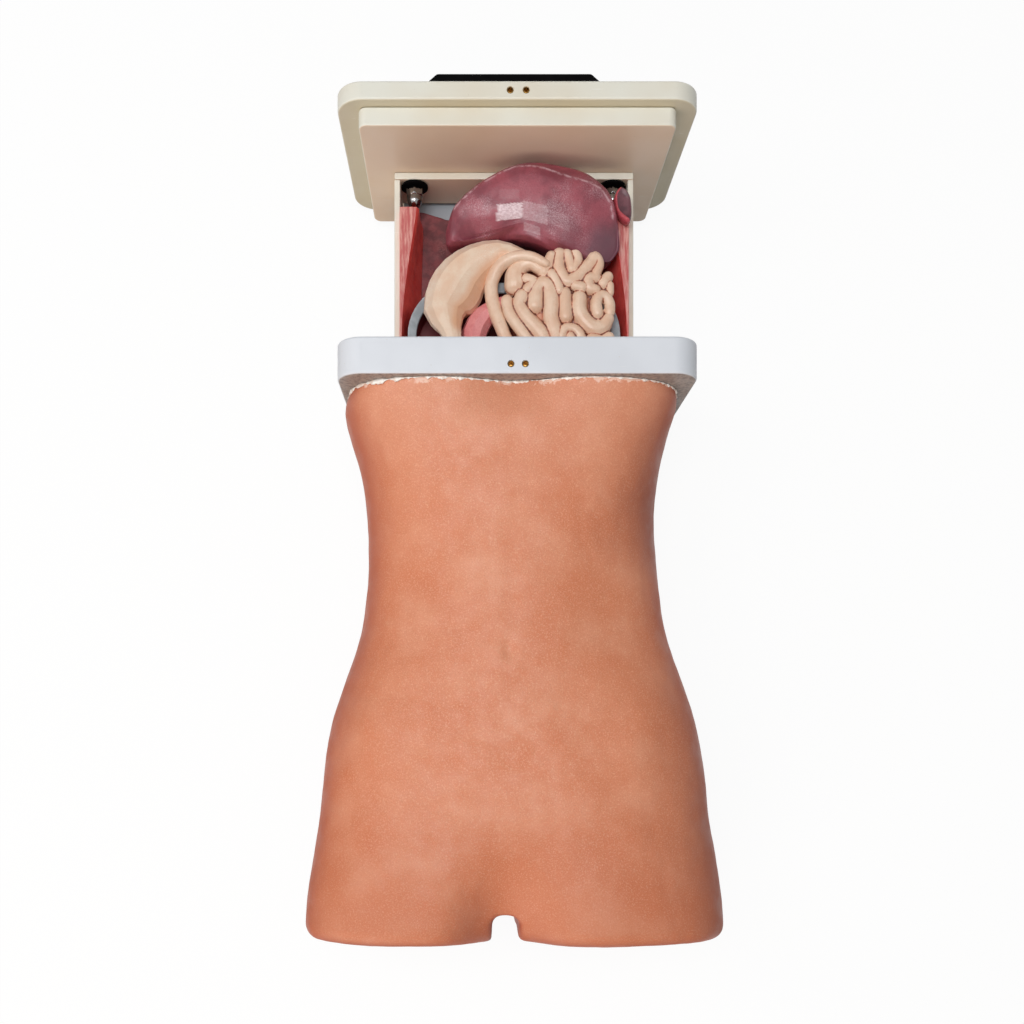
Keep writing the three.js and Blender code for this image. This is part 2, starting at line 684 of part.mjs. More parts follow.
function mound({ outline, centre, base, middle, top, count, lift = () => 1 }, grow = 0) {
  const corners = outline.map((point) => new THREE.Vector3(...inTray(point), 0));
  const round = new THREE.CatmullRomCurve3(corners, true).getSpacedPoints(count).slice(0, count);
  const heart = inTray(centre);
  const rings = MOUND_TURNS.map((degrees) => {
    const turn = (degrees * Math.PI) / 180;
    const share = Math.cos(turn) ** 0.6;
    return round.map((point) => {
      const out = [point.x - heart[0], point.y - heart[1]];
      const scale = share * (1 + grow / Math.hypot(...out));
      const [x, y] = [heart[0] + out[0] * scale, heart[1] + out[1] * scale];
      const depth = degrees < 0 ? middle - base + grow : (top - middle) * lift(x) + grow;
      const full = degrees < 0 ? Math.sin((-MOUND_TURNS[0] * Math.PI) / 180) : 1;
      return [x, y, middle + (depth * Math.sin(turn)) / full];
    });
  });
  return loft(rings);
}

// A tube along a path of [x, y, radius], drawn in at both ends. Its top lies at the height that
// topAt gives, and its section may be flattened or deepened.
function sweptTube(path, { topAt, step, sides, deep = 1, grow = 0 }) {
  const thicknessShare = trayInside / DRAWN_HALF_WIDTH;
  const places = path.map(([x, y, radius]) => {
    const [u, v] = inTray([x, y]);
    return new THREE.Vector3(u, v, topAt(x, y) - radius * thicknessShare * deep);
  });
  const curve = new THREE.CatmullRomCurve3(places);
  const steps = Math.max(4, Math.round(curve.getLength() / step));
  const FINE = 20;
  const lengths = curve.getLengths(FINE * (path.length - 1));
  const whole = lengths[lengths.length - 1];
  const sizes = path.map(([, , radius], index) => {
    return [lengths[FINE * index] / whole, radius * thicknessShare];
  });
  const up = new THREE.Vector3(0, 0, 1);
  const END_SHARES = [0.45, 0.85];
  const rings = [];
  for (let ring = 0; ring <= steps; ring += 1) {
    const middle = curve.getPointAt(ring / steps);
    const along = curve.getTangentAt(ring / steps);
    const across = new THREE.Vector3().crossVectors(up, along).normalize();
    const rise = new THREE.Vector3().crossVectors(along, across);
    const end = END_SHARES[Math.min(ring, steps - ring)] ?? 1;
    const size = between(sizes, ring / steps) * end + grow;
    rings.push(
      Array.from({ length: sides }, (unused, index) => {
        const turn = (2 * Math.PI * (index + 0.5)) / sides;
        const corner = middle.clone().addScaledVector(across, size * Math.cos(turn));
        return corner.addScaledVector(rise, size * deep * Math.sin(turn)).toArray();
      }),
    );
  }
  return loft(rings);
}

// The largest body of a solid that cuts have left in several
function largest(geometry) {
  const bodies = toSolid(geometry).decompose();
  return toGeometry(bodies.reduce((best, body) => (body.volume() > best.volume() ? body : best)));
}

// The outlines and paths below are drawn across and along the tray, from the tray's start
const liverForm = {
  outline: [
    [-61, 22],
    [-49, 8],
    [-20, 0.8],
    [5, 6],
    [31, 24],
    [42.5, 45],
    [38, 50],
    [28, 46.5],
    [4, 44.5],
    [-20, 56],
    [-50, 65],
    [-66, 55],
  ],
  centre: [-14, 34],
  base: bedTop + SEAT_GAP,
  middle: 74,
  top: ORGAN_TOP - LIVER_DROP,
  count: 30,
  lift: (x) => 1 - 0.35 * Math.max(0, (-x - 20) / 50),
};

const spleenForm = {
  outline: [
    [-66, 16],
    [-62, 23],
    [-64, 33],
    [-71, 38.5],
    [-73, 32],
    [-71.5, 21],
  ],
  centre: [-67.5, 27],
  base: MUSCLE_WALL_TOP + SEAT_GAP,
  middle: 79,
  top: ORGAN_TOP - SPLEEN_DROP,
  count: 16,
};

// The mass under the gut's loops
const gutCore = {
  outline: [
    [-6, 62],
    [4, 71],
    [4, 109],
    [4, 159],
    [-8, 175],
    [-42, 175],
    [-57, 161],
    [-57, 109],
    [-54, 68],
    [-30, 61],
  ],
  centre: [-26, 117],
  base: basinFloor + SEAT_GAP,
  middle: 68,
  top: ORGAN_TOP - GUT_DROP - GUT_CORE_DEPTH,
  count: 30,
};

const stomachPath = [
  [-18, 58.5, 3.5],
  [-5, 56, 5.5],
  [8, 55.5, 8.5],
  [20, 60, 12.5],
  [31, 68.5, 16],
  [38, 79, 17.5],
  [43.5, 91, 14],
  [41.5, 100.5, 9.5],
  [39.5, 107.5, 6],
  [37, 117, 5],
];

const pancreasPath = [
  [8, 87, 5],
  [17, 92, 7],
  [23.5, 100, 8],
  [26, 109, 8],
  [24, 117, 6],
];

const outerLoopPath = [
  [-19, 62.5, 2.4],
  [-11.5, 59, 2.6],
  [-4.5, 58, 2.6],
  [2.5, 58.5, 3.2],
  [8.5, 62.5, 3.8],
  [14.5, 75, 4.2],
  [13.5, 88.5, 4.4],
  [9, 102, 4.2],
  [6, 109.5, 4],
  [1.5, 117, 3.8],
];

// The convoluted gut: each path is one loop or limb that shows
const gutPaths = [
  [[-16, 68, 3], [-10.5, 64, 3.6], [-5, 64.5, 4.4], [-1, 69.5, 6], [-0.5, 76, 6.6]],
  [[5, 87, 3.2], [3, 95, 3.2], [-1.5, 103, 3], [-6.5, 110, 2.8], [-11.5, 117, 2.8]],
  [[-4.5, 84.5, 4], [-2.5, 90, 3.6], [-6.5, 97, 3.8], [-11.5, 102.5, 4.2], [-20, 115.5, 4.2]],
  [[-12.5, 90.5, 4.2], [-13, 83.5, 4], [-15, 78.5, 3.8], [-19, 77.5, 4], [-22, 82, 4.6]],
  [[-22, 82, 4.6], [-23, 90, 4.6], [-22.5, 98, 4.2], [-26, 113, 4.4], [-27.5, 120, 4.2]],
  [[-31, 83.5, 3.2], [-31, 90.5, 3.4], [-31.5, 98, 3.6]],
  [[-40, 86.5, 4.4], [-40, 93, 4.4], [-43, 99.5, 4.6], [-48.5, 104, 5], [-54.5, 103, 4.6], [-58, 98.5, 3.2]],
  [[-51.5, 95.5, 3], [-50.5, 89.5, 3], [-52, 85, 2.8], [-56, 84.5, 2.8], [-59, 88.5, 2.8], [-59, 94, 2.8]],
  [[-28, 58.5, 3.6], [-27, 64.5, 3.4], [-28.5, 70.5, 3.4], [-32, 76, 3.6], [-37, 74.5, 3.8]],
  [[-37, 74.5, 3.8], [-42.5, 69, 3.8], [-50, 60, 3.6], [-52.5, 64.5, 2.6], [-50, 71, 2.4]],
  [[-32.5, 58.5, 2.8], [-34, 63.5, 2.4], [-35, 68, 2.2]],
  [[-37.5, 57.5, 3.2], [-38.5, 62.5, 2.8], [-36.5, 68, 2.4]],
  [[-22.5, 60, 2.8], [-21, 64.5, 3.4], [-18, 69.5, 3.8]],
  [[-50, 73.5, 3], [-46, 74.5, 3.6], [-46, 79.5, 3.4], [-50, 81, 2.6]],
  [[-55, 76.5, 3.4], [-58, 72, 2.8]],
  [[-37.5, 78.5, 2.6], [-41.5, 79.5, 3]],
  [[-28.5, 110.5, 2.8], [-31, 106, 2.6], [-36, 105.5, 2.6], [-40, 109, 2.8], [-41, 114, 3]],
  [[-48, 112, 3.6], [-54, 113, 3.6], [-58.5, 110, 3]],
];

// The hidden half of the gut: rows that turn back and forth across the mass
function lowerGut() {
  const FIRST_ROW = 120;
  const ROW_STEP = 8.4;
  const ROWS = 7;
  const MIDDLE = -26.5;
  const REACH = 24;
  const RADIUS = 3.9;
  const points = [];
  for (let row = 0; row < ROWS; row += 1) {
    const y = FIRST_ROW + row * ROW_STEP;
    const turn = row % 2 === 0 ? 1 : -1;
    for (const share of [-1, -0.5, 0.5, 1]) {
      points.push([MIDDLE + turn * share * REACH, y + 0.8 * turn * share, RADIUS]);
    }
  }
  return points;
}

// The tops of the loops lie on a low dome
function gutTop(x, y) {
  const across = ((x + 27) / 33) ** 2;
  const along = Math.min(1, ((y - 95) / 45) ** 2);
  return ORGAN_TOP - GUT_DROP - 3 * across - 2.5 * along;
}

function smallIntestine(grow = 0) {
  const tubes = [...gutPaths, lowerGut()].map((path) =>
    sweptTube(path, { topAt: gutTop, step: 5.5, sides: 6, grow }),
  );
  return join(mound(gutCore, grow), ...tubes);
}

function outerGutLoop(grow = 0) {
  return sweptTube(outerLoopPath, { topAt: gutTop, step: 4.5, sides: 8, grow });
}

function stomach(grow = 0) {
  const topAt = () => ORGAN_TOP - STOMACH_DROP;
  return sweptTube(stomachPath, { topAt, step: 9, sides: 12, deep: STOMACH_FLATNESS, grow });
}

function pancreas() {
  const topAt = () => ORGAN_TOP - PANCREAS_DROP;
  return sweptTube(pancreasPath, { topAt, step: 5.5, sides: 10 });
}

// The basin's outline, seen from the front, drawn in by inset
const basinStart = trayStart + BASIN_INSET;

function basinOutline(inset) {
  const half = trayInside - SEAT_GAP - BASIN_SIDE_STRIP - inset;
  const head = basinStart + inset;
  const foot = footPlateStart - BASIN_FOOT_GAP - inset;
  const corner = BASIN_CORNER - inset;
  const shape = new THREE.Shape();
  shape.absarc(half - corner, foot - corner, corner, 0, Math.PI / 2);
  shape.absarc(-half + corner, foot - corner, corner, Math.PI / 2, Math.PI);
  shape.absarc(-half + corner, head + corner, corner, Math.PI, 1.5 * Math.PI);
  shape.absarc(half - corner, head + corner, corner, 1.5 * Math.PI, 2 * Math.PI);
  return shape;
}

function upright(shape, low, high, curveSegments = 6) {
  const settings = { depth: high - low, bevelEnabled: false, curveSegments };
  return new THREE.ExtrudeGeometry(shape, settings).translate(0, 0, low);
}

function organBasin(grow = 0) {
  const low = bedTop + SEAT_GAP - grow;
  const outer = upright(basinOutline(-grow), low, bedTop + SEAT_GAP + BASIN_HEIGHT + grow);
  return cut(outer, upright(basinOutline(BASIN_WALL + grow), basinFloor + grow, THROUGH));
}

// The muscle sheet on the back panel, with its wavy head edge
function muscleBed() {
  const half = trayInside - SEAT_GAP;
  const head = trayStart + MUSCLE_BED_INSET;
  const foot = footPlateStart - SEAT_GAP;
  const edge = [
    [58, 14],
    [48, 17],
    [38, 19],
    [0, 18],
    [-38, 19],
    [-48, 17],
    [-58, 14],
  ];
  const wave = edge.map((point) => new THREE.Vector2(...inTray(point)));
  const shape = new THREE.Shape();
  shape.moveTo(half, head);
  shape.splineThru([...wave, new THREE.Vector2(-half, head)]);
  shape.lineTo(-half, foot);
  shape.lineTo(half, foot);
  return upright(shape, trayFloor + SEAT_GAP, bedTop, 3);
}

// A wedge of muscle along a side plate, whose top edge leans out towards the foot
function muscleWall(side) {
  const outside = trayInside - SEAT_GAP;
  const low = bedTop + SEAT_GAP;
  const stations = [
    [trayStart + MUSCLE_WALL_INSET, MUSCLE_TOP_WIDTH, MUSCLE_WALL_WIDTH],
    [trayStart + MUSCLE_NARROW_INSET, MUSCLE_RIM_WIDTH, (MUSCLE_WALL_WIDTH + MUSCLE_FOOT_WIDTH) / 2],
    [footPlateStart - SEAT_GAP, MUSCLE_RIM_WIDTH, MUSCLE_FOOT_WIDTH],
  ];
  const rings = stations.map(([y, topWidth, footWidth]) => [
    [side * outside, y, low],
    [side * outside, y, MUSCLE_WALL_TOP],
    [side * (outside - topWidth), y, MUSCLE_WALL_TOP],
    [side * (outside - topWidth - MUSCLE_BEVEL / 2), y, MUSCLE_WALL_TOP - MUSCLE_BEVEL],
    [side * (outside - footWidth), y, low],
  ]);
  return cut(loft(rings, side > 0), upright(basinOutline(-SEAT_GAP), 0, THROUGH));
}

// What the organs leave room for: the cross plate and the cap nuts, and the muscle walls
function headRoom() {
  const plate = block([-THROUGH, 0, 0], [THROUGH, headPlateEnd + SEAT_GAP, TRAY_RAIL_TOP + SEAT_GAP]);
  const nutEnd = nutStart + NUT_HEIGHT + 1;
  const nuts = SIDES.map(([, side]) => rod(WASHER_RADIUS + 1, 0, nutEnd, side * boltX, boltZ));
  return [plate, ...nuts];
}

function muscleRoom() {
  const inside = trayInside - SEAT_GAP - MUSCLE_WALL_WIDTH - SEAT_GAP;
  return SIDES.map(([, side]) => {
    const edges = [side * inside, side * THROUGH].sort((a, b) => a - b);
    return block([edges[0], 0, 0], [edges[1], THROUGH, MUSCLE_WALL_TOP + SEAT_GAP]);
  });
}

function organs() {
  const gut = smallIntestine(ORGAN_GAP);
  const loop = outerGutLoop(ORGAN_GAP);
  const bag = stomach(ORGAN_GAP);
  const basin = organBasin(SEAT_GAP);
  const sides = muscleRoom();
  const shapes = {
    small_intestine: [cut(smallIntestine(), basin, ...sides), gutPink],
    outer_gut_loop: [cut(outerGutLoop(), gut, basin), gutPink],
    stomach: [cut(stomach(), gut, loop, basin, ...sides), stomachCream],
    pancreas: [cut(pancreas(), bag, gut, loop, basin), pancreasPink],
    liver: [cut(mound(liverForm), bag, gut, loop, ...headRoom(), ...sides), liverPurple],
    spleen: [cut(mound(spleenForm), mound(liverForm, ORGAN_GAP)), muscleRed],
  };
  return Object.entries(shapes).map(([name, [shape, look]]) => piece(name, largest(shape), look));
}

function torsoPieces() {
  const pieces = [
    piece("torso_skin", torsoSkin(), skinVinyl),
    piece("flange_ring", flangeRing(), whitePlastic),
    piece("skin_collar", skinCollar(), whitePlastic),
    piece("back_board", backBoard(), boardPlastic),
    piece("bulkhead", bulkhead(), boardPlastic),
  ];
  for (const [name, side] of SIDES) {
    const insertX = (side * FLANGE_INSERT_SPACING) / 2;
    pieces.push(
      piece(`guide_rail_${name}`, guideRail(side), creamPlastic),
      piece(`bumper_${name}`, bumper(side), blackRubber),
      piece(`flange_insert_${name}`, brassInsert(insertX, FLANGE_INSERT_SETBACK), brass),
    );
  }
  screwPlaces().forEach((place, index) => {
    pieces.push(piece(`flange_screw_${index + 1}`, flangeScrew(place), steel));
  });
  return pieces;
}

function drawerPieces() {
  const pieces = [
    piece("end_plate", endPlate(), creamPlastic),
    piece("plug_plate", plugPlate(), creamPlastic),
    piece("pull_handle", pullHandle(), blackPlastic),
    piece("tray_head_plate", trayHeadPlate(), creamPlastic),
    piece("tray_back_panel", trayBackPanel(), greyPlastic),
    piece("tray_foot_plate", trayFootPlate(), creamPlastic),
    piece("muscle_bed", muscleBed(), muscleRed),
    piece("organ_basin", organBasin(), greyPlastic),
    ...organs(),
  ];
  for (const [name, side] of SIDES) {
    const insertX = (side * END_INSERT_SPACING) / 2;
    pieces.push(
      piece(`tray_side_${name}`, traySide(side), creamPlastic),
      piece(`handle_bolt_${name}`, handleBolt(side), steel),
      piece(`washer_${name}`, rubberWasher(side), blackRubber),
      piece(`cap_nut_${name}`, capNut(side), steel),
      piece(`plate_insert_${name}`, brassInsert(insertX, (endPlateOuter - SEAT_GAP) / 2), brass),
      piece(`muscle_wall_${name}`, muscleWall(side), muscleRed),
    );
  }
  return pieces;
}

const torso = new THREE.Group();
torso.add(...torsoPieces());

const drawer = new THREE.Group();
drawer.add(...drawerPieces());
drawer.position.y = -DRAWER_OUT;

const headMost = handleBase - HANDLE_HEIGHT - DRAWER_OUT;
const footMost = skinStart + TORSO_LENGTH;
const manikin = new THREE.Group();
manikin.add(torso, drawer);
manikin.position.y = -(headMost + footMost) / 2;

export default manikin;
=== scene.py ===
# A training manikin's torso with its organ drawer pulled out, lying on its back.
# Sizes are millimetres, in the part's own frame: +Z is the front of the body, +Y runs towards the feet
# and +X is the manikin's right-hand side. MM turns them into metres.

import json
import math

import bmesh
import bpy
import numpy as np
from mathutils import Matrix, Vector, noise


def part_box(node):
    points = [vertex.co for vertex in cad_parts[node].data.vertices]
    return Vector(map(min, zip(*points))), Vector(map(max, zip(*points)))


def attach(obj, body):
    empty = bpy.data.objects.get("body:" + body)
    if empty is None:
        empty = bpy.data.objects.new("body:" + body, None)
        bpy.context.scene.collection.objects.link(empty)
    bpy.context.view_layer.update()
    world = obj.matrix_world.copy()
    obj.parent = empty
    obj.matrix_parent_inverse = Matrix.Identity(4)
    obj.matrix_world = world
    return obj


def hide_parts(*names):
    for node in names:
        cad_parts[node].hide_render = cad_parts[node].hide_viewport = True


MM = 0.001
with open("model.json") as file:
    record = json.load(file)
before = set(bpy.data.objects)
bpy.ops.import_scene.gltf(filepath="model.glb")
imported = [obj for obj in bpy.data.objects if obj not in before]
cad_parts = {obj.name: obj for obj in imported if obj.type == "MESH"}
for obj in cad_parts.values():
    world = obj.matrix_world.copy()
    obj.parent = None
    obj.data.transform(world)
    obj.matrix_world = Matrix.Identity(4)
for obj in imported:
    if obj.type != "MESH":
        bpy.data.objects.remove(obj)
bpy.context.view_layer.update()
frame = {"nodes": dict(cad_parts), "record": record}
SIDES = [("right", 1), ("left", -1)]


# Sizes that the construction has
PLATE_WIDTH = 214.0
PLATE_DEPTH = 126.0
PLATE_CORNER = 16.0
PLUG_CORNER = 5.0
FLANGE_THICKNESS = 22.0
SEAT_GAP = 0.3
SLIDE_CLEARANCE = 0.6
BOLT_HOLE = 3.3
ORGAN_TOP = 102.0
BASIN_CORNER = 33.0
BASIN_WALL = 5.5
TORSO_LENGTH = 337.0
SKIN_THICKNESS = 4.0


def box(node):
    """A node's lowest and highest corner, in millimetres"""
    low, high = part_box(node)
    return low / MM, high / MM


flange_low, flange_high = box("flange_ring")
plug_low, plug_high = box("plug_plate")
side_low, side_high = box("tray_side_right")
bed_low, bed_high = box("muscle_bed")
basin_low, basin_high = box("organ_basin")
FLANGE_FACE = flange_low.y
SKIN_START = flange_high.y + SEAT_GAP
TRAY_START = box("tray_head_plate")[0].y
TRAY_LENGTH = side_high.y - TRAY_START
TRAY_HALF = side_high.x
TRAY_INSIDE = side_low.x


def placed(name, data):
    """A new object of the scene with that data"""
    made = bpy.data.objects.new(name, data)
    bpy.context.scene.collection.objects.link(made)
    return made


def photograph_camera():
    """Straight above the body, as in the photograph"""
    data = bpy.data.cameras.new("photograph_camera")
    data.sensor_width = 36.0
    data.lens = 36.21
    data.shift_x = 0.0439
    data.shift_y = 0.2227
    data.clip_start = 0.01
    camera = placed("photograph_camera", data)
    camera.location = (0.0298, 0.14895, 0.725)
    camera.rotation_euler = (0.0, 0.0, math.pi)
    bpy.context.scene.camera = camera


# Materials
def srgb(red, green, blue):
    """A colour written as it looks, 0 to 255, as Blender's linear colour"""
    values = []
    for value in (red, green, blue):
        share = value / 255
        values.append(share / 12.92 if share <= 0.04045 else ((share + 0.055) / 1.055) ** 2.4)
    return (*values, 1.0)


class Nodes:
    """A node tree, with short names for the nodes that are added to it"""

    def __init__(self, tree):
        self.tree = tree

    def set(self, node, socket, value):
        if isinstance(value, bpy.types.NodeSocket):
            self.tree.links.new(value, node.inputs[socket])
        else:
            node.inputs[socket].default_value = value

    def node(self, kind, inputs, **settings):
        made = self.tree.nodes.new(f"ShaderNode{kind}")
        for name, value in settings.items():
            setattr(made, name, value)
        for socket, value in inputs.items():
            self.set(made, socket, value)
        return made

    def sum(self, first, second, operation="ADD", clamp=False):
        return self.node("Math", {0: first, 1: second}, operation=operation, use_clamp=clamp).outputs[0]

    def times(self, first, second):
        return self.sum(first, second, "MULTIPLY")

    def seen(self):
        """1 for the camera and in reflections, 0 elsewhere"""
        rays = self.node("LightPath", {}).outputs
        seen = self.sum(rays["Is Camera Ray"], rays["Is Glossy Ray"])
        return self.sum(seen, rays["Is Transmission Ray"], clamp=True)

    def show(self, output, factor, first, second):
        """The tree's output shows a mix of two shaders"""
        mixed = self.node("MixShader", {"Fac": factor, 1: first, 2: second})
        self.set(self.tree.nodes[output], "Surface", mixed.outputs[0])


class Look(Nodes):
    """A material that is painted coat by coat, with short names for the nodes that feed its shader"""

    def __init__(self, name, colour, roughness, metallic=0.0, **sockets):
        self.material = bpy.data.materials.new(name)
        self.material.use_nodes = True
        super().__init__(self.material.node_tree)
        self.shader = self.tree.nodes["Principled BSDF"]
        self.place = self.node("TexCoord", {}).outputs["Object"]
        self.base = colour
        for socket, value in {"Roughness": roughness, "Metallic": metallic, **sockets}.items():
            self.set(self.shader, socket.replace("_", " "), value)

    def noise(self, size, detail=4.0, roughness=0.55, stretch=None, distortion=0.0):
        """Noise whose features are about that many millimetres across"""
        place = self.place
        if stretch:
            place = self.node("Mapping", {"Vector": place, "Scale": stretch}).outputs[0]
        inputs = {
            "Vector": place, "Scale": 1 / (size * MM), "Detail": detail, "Roughness": roughness,
            "Distortion": distortion,
        }
        return self.node("TexNoise", inputs).outputs["Fac"]

    def cells(self, size):
        inputs = {"Vector": self.place, "Scale": 1 / (size * MM)}
        return self.node("TexVoronoi", inputs).outputs["Distance"]

    def attribute(self, name):
        return self.node("Attribute", {}, attribute_name=name).outputs["Fac"]

    def coordinate(self, vector, axis):
        return self.node("SeparateXYZ", {"Vector": vector}).outputs[axis]

    def facing(self, axis):
        """How much the surface faces along that axis of the world"""
        return self.coordinate(self.node("NewGeometry", {}).outputs["Normal"], axis)

    def fade(self, value, low, high, start=0.0, end=1.0):
        """start where value is low, end where it is high, and smooth between"""
        inputs = {"Value": value, "From Min": low, "From Max": high, "To Min": start, "To Max": end}
        made = self.node("MapRange", inputs, interpolation_type="SMOOTHSTEP", clamp=True)
        return made.outputs["Result"]

    def ramp(self, axis, low, high, start=0.0, end=1.0):
        """A fade between two places on an axis of the part"""
        return self.fade(self.coordinate(self.place, axis), low * MM, high * MM, start, end)

    def patches(self, size, detail, low, high, start=0.0, end=1.0, **shape):
        """A fade between two values of the noise of that size and detail"""
        return self.fade(self.noise(size, detail, **shape), low, high, start, end)

    def mix(self, factor, first, second):
        inputs = {"Factor": factor, 6: first, 7: second}
        return self.node("Mix", inputs, data_type="RGBA").outputs[2]

    def paint(self, colour, cover, share=None):
        """Lays a coat over the colour so far, as much as cover says, or that share of it"""
        factor = cover if share is None else self.times(cover, share)
        self.base = self.mix(factor, self.base, colour)
        self.set(self.shader, "Base Color", self.base)

    def rough(self, *patches):
        self.set(self.shader, "Roughness", self.patches(*patches))

    def bump(self, height, depth):
        """Relief from a height of 0 to 1, that many millimetres deep"""
        inputs = {"Height": height, "Distance": depth * MM, "Strength": 1.0}
        before = self.shader.inputs["Normal"]
        if before.is_linked:
            inputs["Normal"] = before.links[0].from_socket
        self.set(self.shader, "Normal", self.node("Bump", inputs).outputs["Normal"])


SPECK = (0.07, 0.03)


def plastic_look(
    name, colour, aged, roughness=0.42, soiled_from=None, foot_bounce=0.0, bounce_colour=srgb(250, 202, 162)
):
    """Cut plastic board: slightly yellowed in places, with fine scratches and specks of dust. Its face at
    soiled_from is brown with glue and dirt. Its faces towards the foot get a painted warm reflection from the
    skin and organs, by the share foot_bounce."""
    look = Look(name, colour, roughness)
    look.paint(aged, look.patches(70, 3, 0.35, 0.7))
    # Painted light: a warm reflection from the skin and organs on the faces towards the foot
    if foot_bounce:
        look.paint(bounce_colour, look.fade(look.facing("Y"), 0.6, 0.95, 0.0, foot_bounce))
    lines = look.patches(0.9, 2, 0.67, 0.74, stretch=(0.05, 1.0, 0.6), distortion=0.6)
    marks = look.times(lines, look.patches(22, 3, 0.52, 0.66))
    look.paint(srgb(246, 244, 238), marks, 0.6)
    look.paint(srgb(196, 184, 164), look.fade(look.cells(6.5), *SPECK), 0.3)
    if soiled_from is not None:
        spots = look.patches(2.2, 5, 0.42, 0.62, roughness=0.7)
        dirt = look.mix(spots, srgb(158, 142, 128), srgb(108, 90, 78))
        look.paint(dirt, look.ramp("Y", soiled_from - 0.5, soiled_from - 0.1), 0.85)
    look.rough(9, 5, 0.3, 0.75, roughness - 0.08, roughness + 0.12)
    look.bump(look.noise(1.4, 4), 0.02)
    look.bump(look.sum(1.0, lines, "SUBTRACT"), 0.03)
    return look.material


def skin_look():
    """Soft vinyl: finely grained and mottled, paler where glue has smeared at the head end and darker towards
    the base, with painted shade on the sides and where the attribute shade says so"""
    scatter = {"Subsurface_Weight": 0.1, "Subsurface_Scale": 0.005, "Subsurface_Radius": (1.0, 0.35, 0.2)}
    look = Look("skin_vinyl", srgb(211, 130, 93), 0.52, **scatter)
    look.paint(srgb(204, 119, 80), look.patches(64, 3, 0.32, 0.68, roughness=0.5))
    look.paint(srgb(230, 164, 132), look.patches(30, 3, 0.36, 0.8, 0.0, 0.5, roughness=0.5))
    look.paint(srgb(238, 184, 158), look.ramp("Y", SKIN_START + 12, SKIN_START + 62, 0.16, 0.0))
    look.paint(srgb(234, 176, 144), look.patches(0.9, 4, 0.48, 0.68, 0.0, 0.55, roughness=0.7))
    look.paint(srgb(172, 92, 62), look.fade(look.cells(1.2), 0.26, 0.08, 0.0, 0.42))
    # Painted shade: the sides darker and redder as they turn away from the front
    look.paint(srgb(172, 80, 48), look.fade(look.facing("Z"), 0.96, 0.4, 0.0, 0.85))
    # Painted shade on the left-hand flank, where the attribute shade says so
    look.paint(srgb(112, 46, 32), look.attribute("shade"), 0.52)
    look.paint(srgb(168, 84, 50), look.ramp("Y", SKIN_START + 225, SKIN_START + 320, 0.0, 0.3))
    smear = look.sum(look.attribute("glue"), look.noise(2.2, 5, 0.7))
    smear = look.sum(smear, look.patches(13, 2, 0.42, 0.62, -0.24, 0.12))
    look.paint(srgb(244, 210, 192), look.fade(smear, 0.98, 1.16), 0.72)
    look.rough(12, 4, 0.3, 0.7, 0.44, 0.58)
    look.bump(look.noise(1.2, 3, 0.6), 0.09)
    look.bump(look.cells(0.9), 0.03)
    return look.material


def painted_look(name, colour, dark, pale, roughness=0.38, mottle=14.0, dust=0.5, shade_and_tone=srgb(104, 70, 82)):
    """Hand-painted organ: uneven paint, dusty in places. The mesh's attributes say where it is rubbed pale
    (wear), darker in tone and partly in painted shade (shade_and_tone), and where it carries a painted
    highlight (painted_highlight)."""
    look = Look(name, colour, roughness)
    look.paint(dark, look.patches(mottle, 4, 0.36, 0.66))
    film = look.patches(mottle * 1.7, 3, 0.48, 0.72, roughness=0.5)
    look.paint(pale, look.times(film, look.patches(0.7, 4, 0.4, 0.75, roughness=0.7)), dust)
    look.paint(dark, look.patches(0.9, 4, 0.48, 0.68, 0.0, 0.55, roughness=0.7))
    rubbed = look.times(look.attribute("wear"), look.patches(3.0, 4, 0.35, 0.6, roughness=0.6))
    look.paint(pale, rubbed, 0.85)
    # A darker tone where the attribute says so, partly painted shade on the stomach's inner flank and the
    # liver's lower lobe
    look.paint(shade_and_tone, look.attribute("shade_and_tone"), 0.75)
    highlight_grain = look.patches(0.9, 3, 0.36, 0.64, 0.6, 1.0, roughness=0.6, stretch=(0.6, 1.0, 1.0))
    # A painted highlight: pale, grainy patches where the attribute says so
    look.paint(srgb(236, 212, 216), look.attribute("painted_highlight"), highlight_grain)
    look.rough(5, 4, 0.3, 0.7, roughness - 0.07, roughness + 0.12)
    look.bump(look.noise(1.8, 4, 0.6), 0.09)
    look.bump(look.noise(0.5, 2), 0.02)
    return look.material


def gut_look():
    """Glossy flesh-coloured gut with sparse brown specks, and painted shade in its creases and deep between
    its loops
    """
    look = Look("gut_pink", srgb(240, 208, 183), 0.3)
    look.paint(srgb(231, 191, 163), look.patches(9, 4, 0.36, 0.66))
    look.paint(srgb(150, 100, 74), look.fade(look.cells(3.4), *SPECK, 0.0, 0.6))
    # Painted shade in the creases and the gaps between the loops
    groove = look.attribute("crease")
    look.paint(srgb(192, 122, 94), look.fade(groove, 0.12, 0.55))
    look.paint(srgb(92, 42, 32), look.fade(groove, 0.42, 0.85, 0.0, 0.9))
    look.rough(4, 4, 0.3, 0.7, 0.26, 0.4)
    look.bump(look.noise(2.2, 4, 0.5), 0.05)
    return look.material


